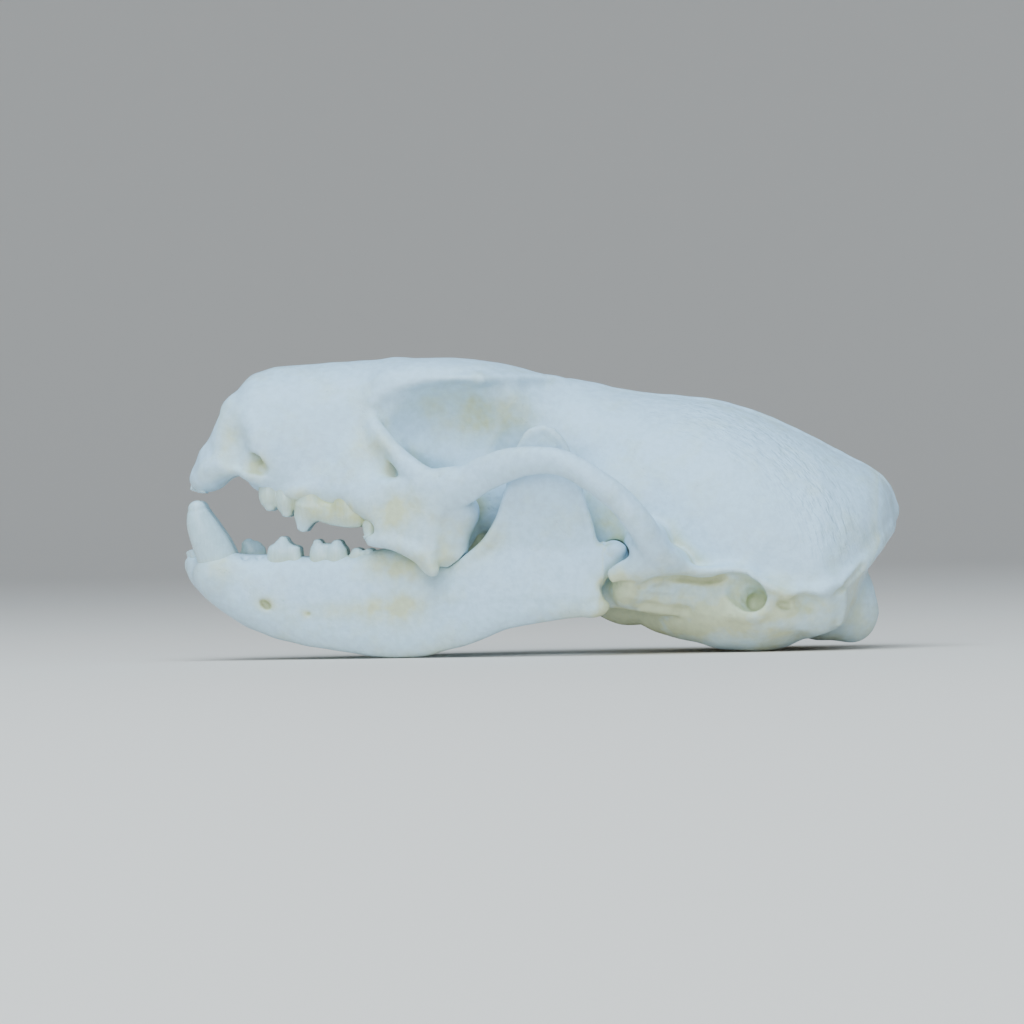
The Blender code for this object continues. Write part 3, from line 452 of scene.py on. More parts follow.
# Swellings and rounded hollows: name, centre, radii along s, y and z, tilt in the side view, blend.
SKULL_BOSSES = (
    ("glenoid_roof", (43.3, 12.6, 10.9), (1.9, 4.2, 1.6), 0, 1.0),
    ("postglenoid_process", (42.6, 13.3, 7.9), (2.4, 2.7, 1.7), 12, 1.4),
    ("postglenoid_foot", (41.4, 12.2, 6.0), (1.7, 2.3, 1.6), 0, 1.6),
    ("postglenoid_tongue", (40.1, 10.9, 6.0), (1.7, 1.35, 1.6), 0, 0.8),
    ("arch_root", (43.0, 14.4, 9.2), (2.1, 2.2, 2.0), 0, 1.4),
    ("ear_front", (44.6, 11.0, 5.5), (3.4, 2.2, 1.9), 0, 1.3),
    ("ear_roof", (46.0, 11.6, 7.0), (3.4, 2.0, 1.4), 0, 1.2),
    ("temporal_wall", (40.5, 8.2, 13.0), (4.2, 3.4, 4.6), 0, 2.0),
    ("orbit_wall", (29.0, 5.0, 15.0), (4.4, 3.2, 3.4), 0, 1.5),
    ("snout_flank", (17.4, 6.2, 17.9), (3.5, 2.0, 2.8), -20, 1.6),
    ("cheek_lump", (24.7, 10.5, 11.6), (2.1, 1.7, 2.8), -10, 1.3),
    ("cheek_lump_foot", (24.9, 10.6, 9.5), (1.6, 1.4, 0.9), 0, 0.9),
    ("cheek_lump_top", (26.2, 10.4, 13.6), (1.6, 2.0, 1.8), 0, 1.3),
    ("palate_end", (24.0, 5.6, 11.8), (3.4, 2.6, 2.7), 0, 1.0),
    ("canine_root", (7.4, 5.3, 19.7), (3.6, 1.75, 2.1), 38, 1.4),
    ("premaxilla_lobe", (2.35, 2.6, 17.3), (1.8, 1.95, 1.3), -12, 0.8),
    ("premaxilla_wall", (3.9, 4.0, 18.4), (2.2, 1.5, 1.1), -8, 1.0),
    ("nasal_tip", (4.5, 2.2, 24.1), (1.3, 1.6, 0.6), -48, 0.5),
    ("carnassial_root", (11.2, 6.5, 15.8), (1.6, 0.8, 0.6), -8, 0.8),
    ("occipital_condyle", (62.15, 5.7, 4.4), (2.85, 2.7, 3.75), -6, 0.4),
    ("condyle_base", (59.8, 6.0, 4.0), (3.6, 3.4, 3.1), 0, 0.8),
    ("cranial_base_wing", (41.9, 5.6, 5.3), (4.0, 2.3, 2.6), 0, 1.0),
)
ORBIT = ((24.7, 9.4, 21.5), (5.95, 4.9, 4.6), 0)  # without name and blend
SKULL_HOLLOWS = (
    ("socket_window", (6.65, 7.1, 18.45), (1.65, 1.2, 0.72), 30, 0.35),
    ("foramen_magnum", (61.2, 0.0, 6.7), (6.6, 4.7, 3.15), 0, 0.5),
    ("stylomastoid_pit", (55.8, 15.3, 4.4), (0.75, 0.9, 0.4), 12, 0.4),
    ("mastoid_pit", (58.2, 15.5, 4.4), (1.7, 1.5, 0.9), 20, 0.8),
    ("cheek_pinhole", (24.2, 13.0, 17.0), (0.13, 0.6, 0.2), 0, 0.05),
    ("lacrimal_foramen", (18.9, 7.6, 23.4), (0.35, 0.7, 0.45), 0, 0.15),
    ("snout_band", (4.6, 6.95, 20.8), (1.5, 1.85, 3.0), -12, 1.2),
    ("occiput", (66.8, 0.0, 5.8), (3.2, 8.0, 3.8), 0, 0.8),
)
JAW_BOSSES = (
    ("angular_process", (38.4, 14.3, 4.4), (1.3, 0.8, 0.7), -15, 0.5),
    ("condyle_crest", (40.4, 14.5, 9.85), (0.95, 0.9, 0.65), 0, 0.4),
    ("canine_bulge", (3.3, 3.9, 8.2), (2.4, 1.7, 2.0), 0, 0.9),
)
JAW_HOLLOWS = (
    ("masseter_hollow", (33.0, 16.2, 8.8), (6.3, 1.75, 4.2), -4, 1.2),
    ("masseter_front", (21.6, 12.0, 7.9), (3.2, 1.6, 1.6), 12, 1.2),
    ("mental_foramen", (7.6, 6.5, 5.3), (0.66, 1.1, 0.36), 40, 0.3),
    ("second_foramen", (11.6, 7.3, 4.35), (0.24, 0.55, 0.2), 20, 0.15),
    ("pinhole", (7.7, 6.2, 9.0), (0.13, 0.5, 0.13), 0, 0.05),
)
EMPTY_SOCKETS = (
    ("second_premolar_socket", (5.75, 4.6, 10.4), (0.5, 0.45, 1.1), 0, 0.2),
    ("third_premolar_socket", (7.05, 4.8, 10.3), (0.42, 0.42, 1.0), 0, 0.2),
)

# Yellowed places, partly the bone's own stains and partly painted shade, as under the bulla, under the cheek
# ridge and behind the jaw angle: s, z, reach along s, reach up and down, strength.
STAINS_AND_SHADE = (
    (25.0, 23.8, 4.0, 1.8, 0.35),
    (29.0, 22.2, 3.6, 2.4, 0.6),
    (17.4, 19.4, 1.9, 1.9, 0.45),
    (4.7, 20.8, 1.0, 2.8, 0.65),
    (6.9, 18.3, 1.2, 0.9, 0.8),
    (14.0, 14.0, 3.6, 1.0, 0.9),
    (11.0, 15.4, 1.6, 0.7, 0.5),
    (20.2, 13.4, 3.0, 2.2, 0.8),
    (20.6, 8.8, 2.8, 1.4, 0.85),
    (20.2, 4.6, 2.2, 1.6, 0.85),
    (15.2, 4.7, 3.2, 0.9, 0.7),
    (7.6, 5.3, 0.8, 0.6, 0.8),
    (11.6, 4.35, 0.5, 0.4, 0.6),
    (3.2, 9.6, 1.6, 2.2, 0.35),
    (49.5, 3.6, 9.0, 2.6, 0.85),
    (53.2, 5.2, 1.7, 1.2, 0.4),
    (46.0, 6.9, 4.6, 0.7, 0.7),
    (41.0, 6.0, 2.2, 2.0, 0.8),
    (42.0, 3.6, 3.2, 1.6, 0.9),
    (57.0, 4.4, 2.4, 1.0, 0.5),
    (63.0, 3.4, 2.2, 2.6, 0.3),
    (27.6, 10.6, 2.0, 1.6, 0.5),
    (24.8, 10.2, 1.5, 2.4, 0.3),
)

# Painted shade in the same terms, on bone that lies deeper than the cheek arch: nearer to the midline than
# the reach.
INNER_SHADE = (
    (39.8, 12.8, 2.3, 2.6, 0.8),
    (39.8, 6.2, 1.7, 2.0, 0.6),
)
INNER_REACH, INNER_EDGE = 13.5, 1.5

# Faces that look down are painted yellow and darker toward the floor, as painted shade, from this height.
UNDERSIDE_TOP, UNDERSIDE_SHADE = 5, 0.25

# How far from a point other bone is looked for, and the share of each distance in how deep set the point is,
# which sets how much painted shade it gets.
SHADE_REACHES = ((0.5, 0.25), (1.2, 0.35), (2.8, 0.4))

# The muscle scars are arcs round a point of the braincase: its s and z, their radius and the band's width.
SCAR_CENTRE = (42.9, 5.2)
SCAR_RADIUS, SCAR_WIDTH = 18.6, 3.0
SCAR_START, SCAR_END = 0.1, 1.6  # radians above the level
SCAR_FADE = 3  # the scars end this far from the midline
SCAR_GRAIN = (2100.0, 500.0, 9.0)  # noise for a metre out, for a metre across and for a radian round

# The yellow of the upper teeth: the height where it begins and the s where that holds, how much lower it
# begins for each millimetre behind, and the height it takes to grow full. The front premolars have a share.
UPPER_NECK_Z, UPPER_NECK_S, UPPER_NECK_FALL, UPPER_NECK_FADE = 13.1, 8.1, 0.2, 1.9
FRONT_S, FRONT_REACH, FRONT_SHARE = 8.5, 3.5, 0.45
# The same for the lower teeth, where it begins lower only on the canine.
LOWER_NECK_Z, CANINE_REAR_S, LOWER_NECK_FALL, LOWER_NECK_FADE = 10.6, 5, 0.25, 2.4

# Where the incisors and the nose scrolls stand, and their sizes in metres, radians and shares.
UPPER_INCISOR_PLACE, LOWER_INCISOR_PLACE, SCROLL_PLACE = (5.8, 0, 17.7), (5.75, 0, 8.7), (9.7, 0, 21.6)
UPPER_INCISORS = {
    "Count": 6, "Arc Radius": 0.00465, "Half Spread": 0.6, "Length": -0.00152, "Thickness": 0.00034,
    "Breadth": 1.35, "Outer Growth": 0.2, "Lean": -0.2}
LOWER_INCISORS = {
    "Count": 6, "Arc Radius": 0.0051, "Half Spread": 0.4, "Length": 0.00165, "Thickness": 0.0003,
    "Breadth": 1.3, "Outer Growth": 0.15, "Lean": 0.2}
NOSE_SCROLLS = {
    "Count": 4, "Side Offset": 0.0014, "Rise": 0.0021, "Length": 0.0074, "Thickness": 0.00016,
    "Scroll Radius": 0.00105, "Turns": 1.6, "Wall Size": (0.0084, 0.00022, 0.0048),
    "Wall Rise": (0.0, 0.0, 0.0004)}

# Each tooth is a group of cusps and roots: rows of s, y, z, half width across the row, half length along it.
UPPER_TEETH = {
    "second_premolar": (
        ((8.1, 5.6, 17.0, 0.6, 0.9), (8.1, 5.75, 15.7, 0.75, 0.98), (8.12, 5.8, 15.0, 0.68, 0.86),
         (8.2, 5.85, 14.45, 0.42, 0.52)),),
    "third_premolar": (
        ((9.65, 5.85, 16.4, 0.7, 1.0), (9.65, 5.95, 15.1, 0.85, 1.02), (9.7, 6.0, 14.4, 0.7, 0.86),
         (9.76, 6.05, 13.85, 0.42, 0.52)),),
    "carnassial": (
        ((12.1, 6.35, 15.8, 0.9, 1.4), (11.85, 6.5, 14.2, 1.0, 1.4), (11.42, 6.55, 13.2, 0.68, 0.95),
         (11.22, 6.6, 12.4, 0.36, 0.55)),
        ((11.1, 6.2, 14.8, 0.55, 0.6), (10.9, 6.25, 13.6, 0.42, 0.42)),
        ((12.4, 6.75, 14.2, 0.65, 0.95), (13.5, 7.0, 13.85, 0.7, 1.05), (14.5, 7.3, 13.5, 0.66, 1.0),
         (15.5, 7.65, 13.4, 0.64, 1.06), (16.5, 8.0, 13.3, 0.58, 0.95)),
        ((15.7, 7.4, 15.8, 0.8, 1.1), (15.5, 7.55, 14.4, 0.85, 1.35), (15.4, 7.6, 13.6, 0.72, 1.2)),
        ((11.8, 5.6, 15.4, 0.7, 0.7), (11.7, 5.3, 13.9, 0.75, 0.8), (11.7, 5.3, 13.3, 0.35, 0.4)),
    ),
    "molar": (
        ((17.7, 8.45, 12.6, 0.75, 0.85), (18.0, 8.1, 12.3, 0.85, 0.9), (18.4, 7.0, 12.3, 0.8, 0.8),
         (18.7, 5.6, 12.2, 1.0, 0.85)),
        ((17.6, 8.5, 12.4, 0.65, 0.85), (17.5, 8.8, 11.5, 0.5, 0.6), (17.5, 8.9, 10.9, 0.24, 0.3)),
        ((18.7, 8.6, 12.2, 0.5, 0.5), (18.8, 8.7, 11.3, 0.25, 0.25)),
        ((18.5, 6.0, 12.0, 0.5, 0.5), (18.5, 6.0, 11.3, 0.25, 0.25)),
    ),
}
LOWER_TEETH = {
    "fourth_premolar": (
        ((9.3, 5.15, 8.6, 0.6, 1.2), (9.3, 5.15, 10.1, 0.7, 1.35), (9.3, 5.18, 10.9, 0.5, 0.85),
         (9.35, 5.2, 11.4, 0.26, 0.42)),
        ((8.3, 5.0, 9.2, 0.5, 0.55), (8.35, 5.0, 10.5, 0.36, 0.42)),
        ((10.5, 5.4, 9.2, 0.55, 0.6), (10.45, 5.42, 10.4, 0.38, 0.5)),
    ),
    "carnassial": (
        ((12.7, 5.9, 8.6, 0.75, 0.9), (12.6, 5.9, 10.2, 0.7, 0.8), (12.55, 5.92, 11.0, 0.34, 0.42)),
        ((14.4, 6.35, 8.6, 0.8, 1.0), (14.4, 6.4, 10.2, 0.75, 0.95), (14.42, 6.42, 10.9, 0.36, 0.5)),
        ((13.4, 6.1, 9.7, 0.6, 0.85), (13.5, 6.15, 10.5, 0.42, 0.6)),
        ((16.0, 6.9, 8.8, 0.7, 0.95), (16.3, 7.0, 10.0, 0.45, 0.6)),
        ((17.4, 7.25, 8.8, 0.6, 0.75), (17.4, 7.3, 10.0, 0.38, 0.5)),
    ),
    "second_molar": (((19.5, 8.0, 8.8, 0.5, 0.6), (19.5, 8.05, 9.8, 0.45, 0.6)),),
    "canine": (
        ((5.1, 3.3, 5.6, 1.0, 1.2), (4.1, 3.4, 7.4, 1.25, 1.6), (3.2, 3.7, 9.4, 1.4, 1.85),
         (2.6, 3.85, 10.8, 1.4, 1.78), (1.95, 4.1, 12.2, 1.3, 1.55), (1.55, 4.25, 13.2, 1.14, 1.34),
         (1.38, 4.35, 13.9, 0.98, 1.1), (1.3, 4.4, 14.35, 0.82, 0.86)),),
}
THIRD_PREMOLAR = (
    ((6.1, 4.7, 9.0, 0.55, 1.1), (6.0, 4.7, 10.3, 0.62, 1.25), (5.65, 4.65, 11.05, 0.4, 0.6)),
    ((7.1, 4.8, 9.2, 0.5, 0.5), (7.1, 4.8, 10.4, 0.25, 0.25)),
)


# Distances and meshes


def eased(rows, at):
    """The rows of a table where its first column reads "at", on a smooth curve with no overshoot."""
    rows = np.asarray(rows, float)
    x, values = rows[:, 0], rows[:, 1:]
    step = np.diff(x)[:, None]
    slope = np.diff(values, axis=0) / step
    tangent = np.zeros_like(values)
    tangent[0], tangent[-1] = slope[0], slope[-1]
    before, after = slope[:-1], slope[1:]
    w1, w2 = 2 * step[1:] + step[:-1], step[1:] + 2 * step[:-1]
    same_way = before * after > 0
    safe_before, safe_after = np.where(same_way, before, 1), np.where(same_way, after, 1)
    tangent[1:-1] = np.where(same_way, (w1 + w2) / (w1 / safe_before + w2 / safe_after), 0)
    at = np.clip(at, x[0], x[-1])
    i = np.clip(np.searchsorted(x, at, side="right") - 1, 0, len(x) - 2)
    h = (x[i + 1] - x[i])[:, None]
    t = (at - x[i])[:, None] / h
    return ((2 * t**3 - 3 * t**2 + 1) * values[i] + (t**3 - 2 * t**2 + t) * h * tangent[i]
            + (3 * t**2 - 2 * t**3) * values[i + 1] + (t**3 - t**2) * h * tangent[i + 1])


def along(path):
    """Points of a path, on a smooth curve through its rows."""
    path = np.asarray(path, float)
    numbered = np.column_stack([np.arange(len(path)), path])
    return eased(numbered, np.linspace(0, len(path) - 1, (len(path) - 1) * PATH_STEPS + 1))


def smooth_min(a, b, k):
    """The smaller of two distances, rounded where they are within k of each other."""
    mix = np.clip(0.5 + 0.5 * (b - a) / k, 0, 1)
    return b + (a - b) * mix - k * mix * (1 - mix)


def evened(level, step):
    """Turns a function that is zero on a surface into distances near it."""
    slopes = np.gradient(level, step)
    steepness = np.sqrt(slopes[0] ** 2 + slopes[1] ** 2 + slopes[2] ** 2)
    return level / np.maximum(steepness, LEAST_SLOPE)


def powered(a, b, power):
    """How far out a point is in an outline, where 1 is on it. A higher power makes a squarer outline."""
    return (a**power + b**power) ** (1 / power)


def vault(rows):
    """A body on the midline from rows of s, top, bottom, half width, widest height and two roundnesses."""
    table = np.array(rows)
    low = (table[0, 0], 0, table[:, 2].min())
    high = (table[-1, 0], table[:, 3].max(), table[:, 1].max())

    def distance(s, y, z, step):
        top, bottom, width, widest, above, below = (
            column[:, None, None] for column in eased(rows, s.ravel()).T)
        across = np.abs(y) / width
        upper = powered(across, np.maximum(z - widest, 0) / (top - widest), above)
        lower = powered(across, np.maximum(widest - z, 0) / (widest - bottom), below)
        body = evened(np.where(z > widest, upper, lower) - 1, step)
        ends = np.maximum(low[0] - s, s - high[0])
        return -smooth_min(-body, -ends, VAULT_EDGE)

    return low, high, distance


def bar(rows):
    """A bar beside the midline from rows of s, top, bottom, inner y and outer y."""
    table = np.array(rows)
    low = (table[0, 0], table[:, 3].min(), table[:, 2].min())
    high = (table[-1, 0], table[:, 4].max(), table[:, 1].max())

    def distance(s, y, z, step):
        top, bottom, inner, outer = (column[:, None, None] for column in eased(rows, s.ravel()).T)
        across = np.abs(2 * y - inner - outer) / (outer - inner)
        up = np.abs(2 * z - top - bottom) / (top - bottom)
        body = evened(powered(across, up, BAR_SQUARENESS) - 1, step)
        ends = np.maximum(low[0] - s, s - high[0])
        return -smooth_min(-body, -ends, BAR_EDGE)

    return low, high, distance


def plate(levels):
    """A thin upright plate from level cuts: z, front s and y, rear s and y, half thickness."""
    table = np.array(levels)
    half = table[:, 5].max()
    low = (table[:, 1].min(), table[:, [2, 4]].min() - half, table[0, 0])
    high = (table[:, 3].max(), table[:, [2, 4]].max() + half, table[-1, 0])

    def distance(s, y, z, step):
        s0, y0, s1, y1, thick = (column[None, None, :] for column in eased(levels, z.ravel()).T)
        reach_s, reach_y = (s1 - s0) / 2, (y1 - y0) / 2
        length = np.hypot(reach_s, reach_y)
        from_s, from_y = s - (s0 + s1) / 2, y - (y0 + y1) / 2
        lengthwise = np.abs(from_s * reach_s + from_y * reach_y) / length**2
        across = np.abs(from_y * reach_s - from_s * reach_y) / length / thick
        body = evened(powered(lengthwise, across, PLATE_SQUARENESS) - 1, step)
        ends = np.maximum(low[2] - z, z - high[2])
        return -smooth_min(-body, -ends, PLATE_EDGE)

    return low, high, distance


def ellipsoid(u, v, w, a, b, c):
    """Distance to an ellipsoid, near enough, from coordinates along its axes."""
    k0 = np.sqrt((u / a) ** 2 + (v / b) ** 2 + (w / c) ** 2)
    k1 = np.sqrt((u / a**2) ** 2 + (v / b**2) ** 2 + (w / c**2) ** 2)
    return k0 * (k0 - 1) / np.maximum(k1, 1e-6)


def ball(centre, radii, tilt):
    """An ellipsoid that is tilted in the side view, in degrees, front end up."""
    reach = np.array(radii) if tilt == 0 else np.array((max(radii), radii[1], max(radii)))
    cos, sin = math.cos(math.radians(tilt)), math.sin(math.radians(tilt))

    def distance(s, y, z, step):
        ds, dz = s - centre[0], z - centre[2]
        return ellipsoid(ds * cos - dz * sin, y - centre[1], ds * sin + dz * cos, *radii)

    return np.array(centre) - reach, np.array(centre) + reach, distance


def frames_along(centres):
    """Directions along, across and up a path, with no sudden turn."""
    ways = np.gradient(centres, axis=0)
    ways /= np.linalg.norm(ways, axis=1)[:, None]
    across = []
    for way in ways:
        level = np.cross(way, (0, 0, 1))
        turned = level if np.linalg.norm(level) > 0.2 else np.cross(way, (1, 0, 0))
        turned = turned / np.linalg.norm(turned)
        across.append(-turned if across and turned @ across[-1] < 0 else turned)
    across = np.array(across)
    return ways, across, np.cross(across, ways)


def rod(path):
    """A bent rod through rows of s, y, z, half thickness across and half height."""
    rows = along(path)
    centres, thick, high = rows[:, :3], rows[:, 3], rows[:, 4]
    ways, across, up = frames_along(centres)
    numbers = np.arange(len(rows))
    widest = max(thick.max(), high.max())

    def distance(s, y, z, step):
        axes = [s.ravel(), y.ravel(), z.ravel()]
        shape = tuple(len(axis) for axis in axes)
        nearest = np.full(shape, np.inf, np.float32)
        place = np.zeros(shape, np.float32)
        for i in range(len(rows) - 1):
            a, ab = centres[i], centres[i + 1] - centres[i]
            ends = np.sort([a, centres[i + 1]], axis=0)
            part = tuple(slice(*np.searchsorted(axis, (lo - widest - REACH, hi + widest + REACH)))
                         for axis, lo, hi in zip(axes, *ends))
            here = [s[part[0]] - a[0], y[:, part[1]] - a[1], z[:, :, part[2]] - a[2]]
            t = np.clip((here[0] * ab[0] + here[1] * ab[1] + here[2] * ab[2]) / (ab @ ab), 0, 1)
            apart = (here[0] - t * ab[0]) ** 2 + (here[1] - t * ab[1]) ** 2 + (here[2] - t * ab[2]) ** 2
            nearer = apart < nearest[part]
            nearest[part] = np.where(nearer, apart, nearest[part])
            place[part] = np.where(nearer, i + t, place[part])
        result = np.full(shape, FAR, np.float32)
        known = np.isfinite(nearest)
        at = place[known]
        points = [axis_grid[known] for axis_grid in np.broadcast_arrays(s, y, z)]
        apart = [point - np.interp(at, numbers, centres[:, j]) for j, point in enumerate(points)]
        u, v, w = (sum(apart[j] * np.interp(at, numbers, way[:, j]) for j in range(3))
                   for way in (across, up, ways))
        a, b = np.interp(at, numbers, thick), np.interp(at, numbers, high)
        result[known] = ellipsoid(u, v, w, a, b, np.minimum(a, b))
        return result

    return centres.min(axis=0) - widest, centres.max(axis=0) + widest, distance


class Field:
    """Distances to a surface, in millimetres, on a grid over one side of the skull. Inside is negative."""

    def __init__(self, low, high, step):
        self.low = np.array(low, float)
        self.step = step
        self.shape = tuple(int(math.ceil((b - a) / step)) + 1 for a, b in zip(low, high))
        self.values = np.full(self.shape, FAR, np.float32)

    def window(self, low, high):
        """The part of the grid round a form, and its coordinates."""
        first = np.floor((np.array(low) - REACH - self.low) / self.step).astype(int)
        last = np.ceil((np.array(high) + REACH - self.low) / self.step).astype(int) + 1
        first, last = np.clip(first, 0, self.shape), np.clip(last, 0, self.shape)
        axes = [start + self.step * np.arange(a, b) for start, a, b in zip(self.low, first, last)]
        return (tuple(slice(a, b) for a, b in zip(first, last)),
                [axis.astype(np.float32) for axis in np.meshgrid(*axes, indexing="ij", sparse=True)])

    def add(self, form, blend):
        low, high, distance = form
        part, (s, y, z) = self.window(low, high)
        self.values[part] = smooth_min(self.values[part], distance(s, y, z, self.step), blend)

    def carve(self, form, blend):
        low, high, distance = form
        part, (s, y, z) = self.window(low, high)
        self.values[part] = -smooth_min(-self.values[part], distance(s, y, z, self.step), blend)

    def roughen(self, height):
        """Makes the surface a little uneven, as grown bone is."""
        _, (s, y, z) = self.window(self.low, self.low + self.step * np.array(self.shape))
        for along_s, along_y, along_z, start in WAVES:
            self.values += height * np.sin(along_s * s + along_y * y + along_z * z + start)

    def copy(self):
        twin = Field.__new__(Field)
        twin.low, twin.step, twin.shape, twin.values = self.low, self.step, self.shape, self.values.copy()
        return twin

    def both_sides(self):
        """The same field over both sides of the head."""
        whole = self.copy()
        whole.values = np.concatenate([self.values[:, :0:-1], self.values], axis=1)
        whole.low = self.low * (1, 0, 1) - (0, self.step * (self.shape[1] - 1), 0)
        whole.shape = whole.values.shape
        return whole

    def read(self, points):
        """Distances at points, in table millimetres."""
        at = (points - self.low) / self.step
        at = np.clip(at, 0, np.array(self.shape) - 1.001)
        cell = at.astype(int)
        t = at - cell
        total = np.zeros(len(points))
        for corner in range(8):
            i, j, k = corner & 1, corner >> 1 & 1, corner >> 2
            weight = (np.where(i, t[:, 0], 1 - t[:, 0]) * np.where(j, t[:, 1], 1 - t[:, 1])
                      * np.where(k, t[:, 2], 1 - t[:, 2]))
            total += weight * self.values[cell[:, 0] + i, cell[:, 1] + j, cell[:, 2] + k]
        return total

    def slopes(self, points):
        """Unit normals at points."""
        normal = np.empty_like(points)
        for axis in range(3):
            offset = np.zeros(3)
            offset[axis] = self.step * SLOPE_REACH
            normal[:, axis] = self.read(points + offset) - self.read(points - offset)
        return normal / np.maximum(np.linalg.norm(normal, axis=1), 1e-9)[:, None]

    def settle(self, points):
        """Moves points on to the surface."""
        for _ in range(SETTLE_ROUNDS):
            move = np.clip(self.read(points), -SETTLE_MOST, SETTLE_MOST)
            points = points - self.slopes(points) * move[:, None]
        return points


def skin(field):
    """Vertices, in table millimetres, and four-cornered faces over a field's surface."""
    values, shape = field.values, np.array(field.shape)
    cell_shape = shape - 1
    cells, crossings, quads = [], [], []
    for axis in range(3):
        ahead = [slice(None)] * 3
        behind = [slice(None)] * 3
        behind[axis], ahead[axis] = slice(0, -1), slice(1, None)
        a, b = values[tuple(behind)], values[tuple(ahead)]
        index = np.argwhere((a < 0) != (b < 0))
        side_axes = [(axis + 1) % 3, (axis + 2) % 3]
        inner = np.all((index[:, side_axes] > 0) & (index[:, side_axes] < shape[side_axes] - 1), axis=1)
        index = index[inner]
        start, end = a[tuple(index.T)], b[tuple(index.T)]
        point = index.astype(float)
        point[:, axis] += start / (start - end)
        corners = []
        for j, k in ((1, 1), (0, 1), (0, 0), (1, 0)):
            cell = index.copy()
            cell[:, side_axes[0]] -= j
            cell[:, side_axes[1]] -= k
            corners.append(np.ravel_multi_index(tuple(cell.T), tuple(cell_shape)))
        corners = np.array(corners).T
        corners[start >= 0] = corners[start >= 0][:, ::-1]
        quads.append(corners)
        cells.append(corners.ravel())
        crossings.append(np.repeat(point, 4, axis=0))
    _, numbers = np.unique(np.concatenate(cells), return_inverse=True)
    points = np.concatenate(crossings)
    count = np.bincount(numbers)
    centre = np.column_stack([np.bincount(numbers, weights=points[:, axis]) / count for axis in range(3)])
    return field.low + centre * field.step, numbers.reshape(-1, 4)


def to_metres(points):
    return (np.asarray(points) - (SKULL_LENGTH / 2, 0, REST_DROP)) * MM


def to_table(points):
    """Points in the millimetres of the tables."""
    return points / MM + (SKULL_LENGTH / 2, 0, REST_DROP)


def placed(name, data):
    """A new object in the scene."""
    obj = bpy.data.objects.new(name, data)
    bpy.context.scene.collection.objects.link(obj)
    return obj


def mesh_object(name, points, faces):
    mesh = bpy.data.meshes.new(name)
    mesh.vertices.add(len(points))
    mesh.vertices.foreach_set("co", points.astype(np.float32).ravel())
    mesh.loops.add(faces.size)
    mesh.loops.foreach_set("vertex_index", faces.astype(np.int32).ravel())
    mesh.polygons.add(len(faces))
    mesh.polygons.foreach_set("loop_start", np.arange(0, faces.size, faces.shape[1], dtype=np.int32))
    mesh.update(calc_edges=True)
    return placed(name, mesh)


def points_of(obj):
    points = np.empty(len(obj.data.vertices) * 3, np.float32)
    obj.data.vertices.foreach_get("co", points)
    return points.reshape(-1, 3).astype(float)


def bake_modifiers(obj):
    """Puts the evaluated shape in the object's own mesh."""
    graph = bpy.context.evaluated_depsgraph_get()
    mesh = bpy.data.meshes.new_from_object(obj.evaluated_get(graph))
    obj.modifiers.clear()
    obj.data = mesh


def covered(name, field, most_triangles, side=RIGHT):
    """A mesh object over a field's surface, with few faces where it is flat, and smooth to look at."""
    points, faces = skin(field)
    obj = mesh_object(name, to_metres(field.settle(points)), faces)
    if 2 * len(faces) > most_triangles:
        thin = obj.modifiers.new("Thin", "DECIMATE")
        thin.ratio = most_triangles / (2 * len(faces))
        thin.use_collapse_triangulate = True
        bake_modifiers(obj)
    points = field.settle(to_table(points_of(obj)))
    mirror = np.array((1, side, 1))
    obj.data.vertices.foreach_set("co", (to_metres(points) * mirror).astype(np.float32).ravel())
    if side == LEFT:
        obj.data.flip_normals()
    obj.data.update()
    obj.data.shade_smooth()
    obj.data.normals_split_custom_set_from_vertices(field.slopes(points) * mirror)
    return obj, points


def mark(obj, name, values):
    """Writes one number a vertex as a named attribute."""
    layer = obj.data.attributes.new(name, "FLOAT", "POINT")
    layer.data.foreach_set("value", np.asarray(values, np.float32))


def mark_surface(obj, field, points):
    """Writes how closely other bone stands round each point, for painted shade in hollows, how stained it
    is, with painted shade on low undersides and deep-set bone, and how scarred by muscle.
    """
    normal = field.slopes(points)
    # Painted shade: the more other bone stands close round a point, the more its colour is yellowed and
    # darkened as if shaded.
    shade = np.zeros(len(points))
    for reach, weight in SHADE_REACHES:
        shade += weight * np.clip(1 - field.read(points + normal * reach) / reach, 0, 1)
    mark(obj, "hollow_shade", np.clip(shade, 0, 1))
    s, y, z = points.T
    # Painted shade: low faces that look down toward the floor are yellowed and darkened.
    low = np.clip((UNDERSIDE_TOP - z) / UNDERSIDE_TOP, 0, 1)
    stain_and_shade = UNDERSIDE_SHADE * low * np.clip(-normal[:, 2], 0, 1)
    # Painted shade on bone that lies deeper than the cheek arch.
    inner = np.clip((INNER_REACH - np.abs(y)) / INNER_EDGE, 0, 1)
    for places, share in ((STAINS_AND_SHADE, 1.0), (INNER_SHADE, inner)):
        for at_s, at_z, reach_s, reach_z, strength in places:
            stain_and_shade += share * strength * np.exp(-((s - at_s) / reach_s) ** 2 - ((z - at_z) / reach_z) ** 2)
    mark(obj, "stain_and_shade", np.clip(stain_and_shade, 0, 1))
    from_s, from_z = s - SCAR_CENTRE[0], z - SCAR_CENTRE[1]
    far, turn = np.hypot(from_s, from_z), np.arctan2(from_z, from_s)
    scar = np.exp(-((far - SCAR_RADIUS) / SCAR_WIDTH) ** 2) * np.clip((turn - SCAR_START) * 4, 0, 1)
    scar *= np.clip((SCAR_END - turn) * 3, 0, 1) * np.clip(np.abs(y) / SCAR_FADE, 0, 1)
    mark(obj, "scar", scar)


# The bones


def swell(field, bosses):
    """Adds a table of swellings."""
    for _, centre, radii, tilt, blend in bosses:
        field.add(ball(centre, radii, tilt), blend)


def hollow_out(field, hollows):
    """Carves a table of rounded hollows."""
    for _, centre, radii, tilt, blend in hollows:
        field.carve(ball(centre, radii, tilt), blend)


def add_rods(field, *paths):
    """Adds rods. Each comes with how far it blends with what is there."""
    for path, blend in paths:
        field.add(rod(path), blend)


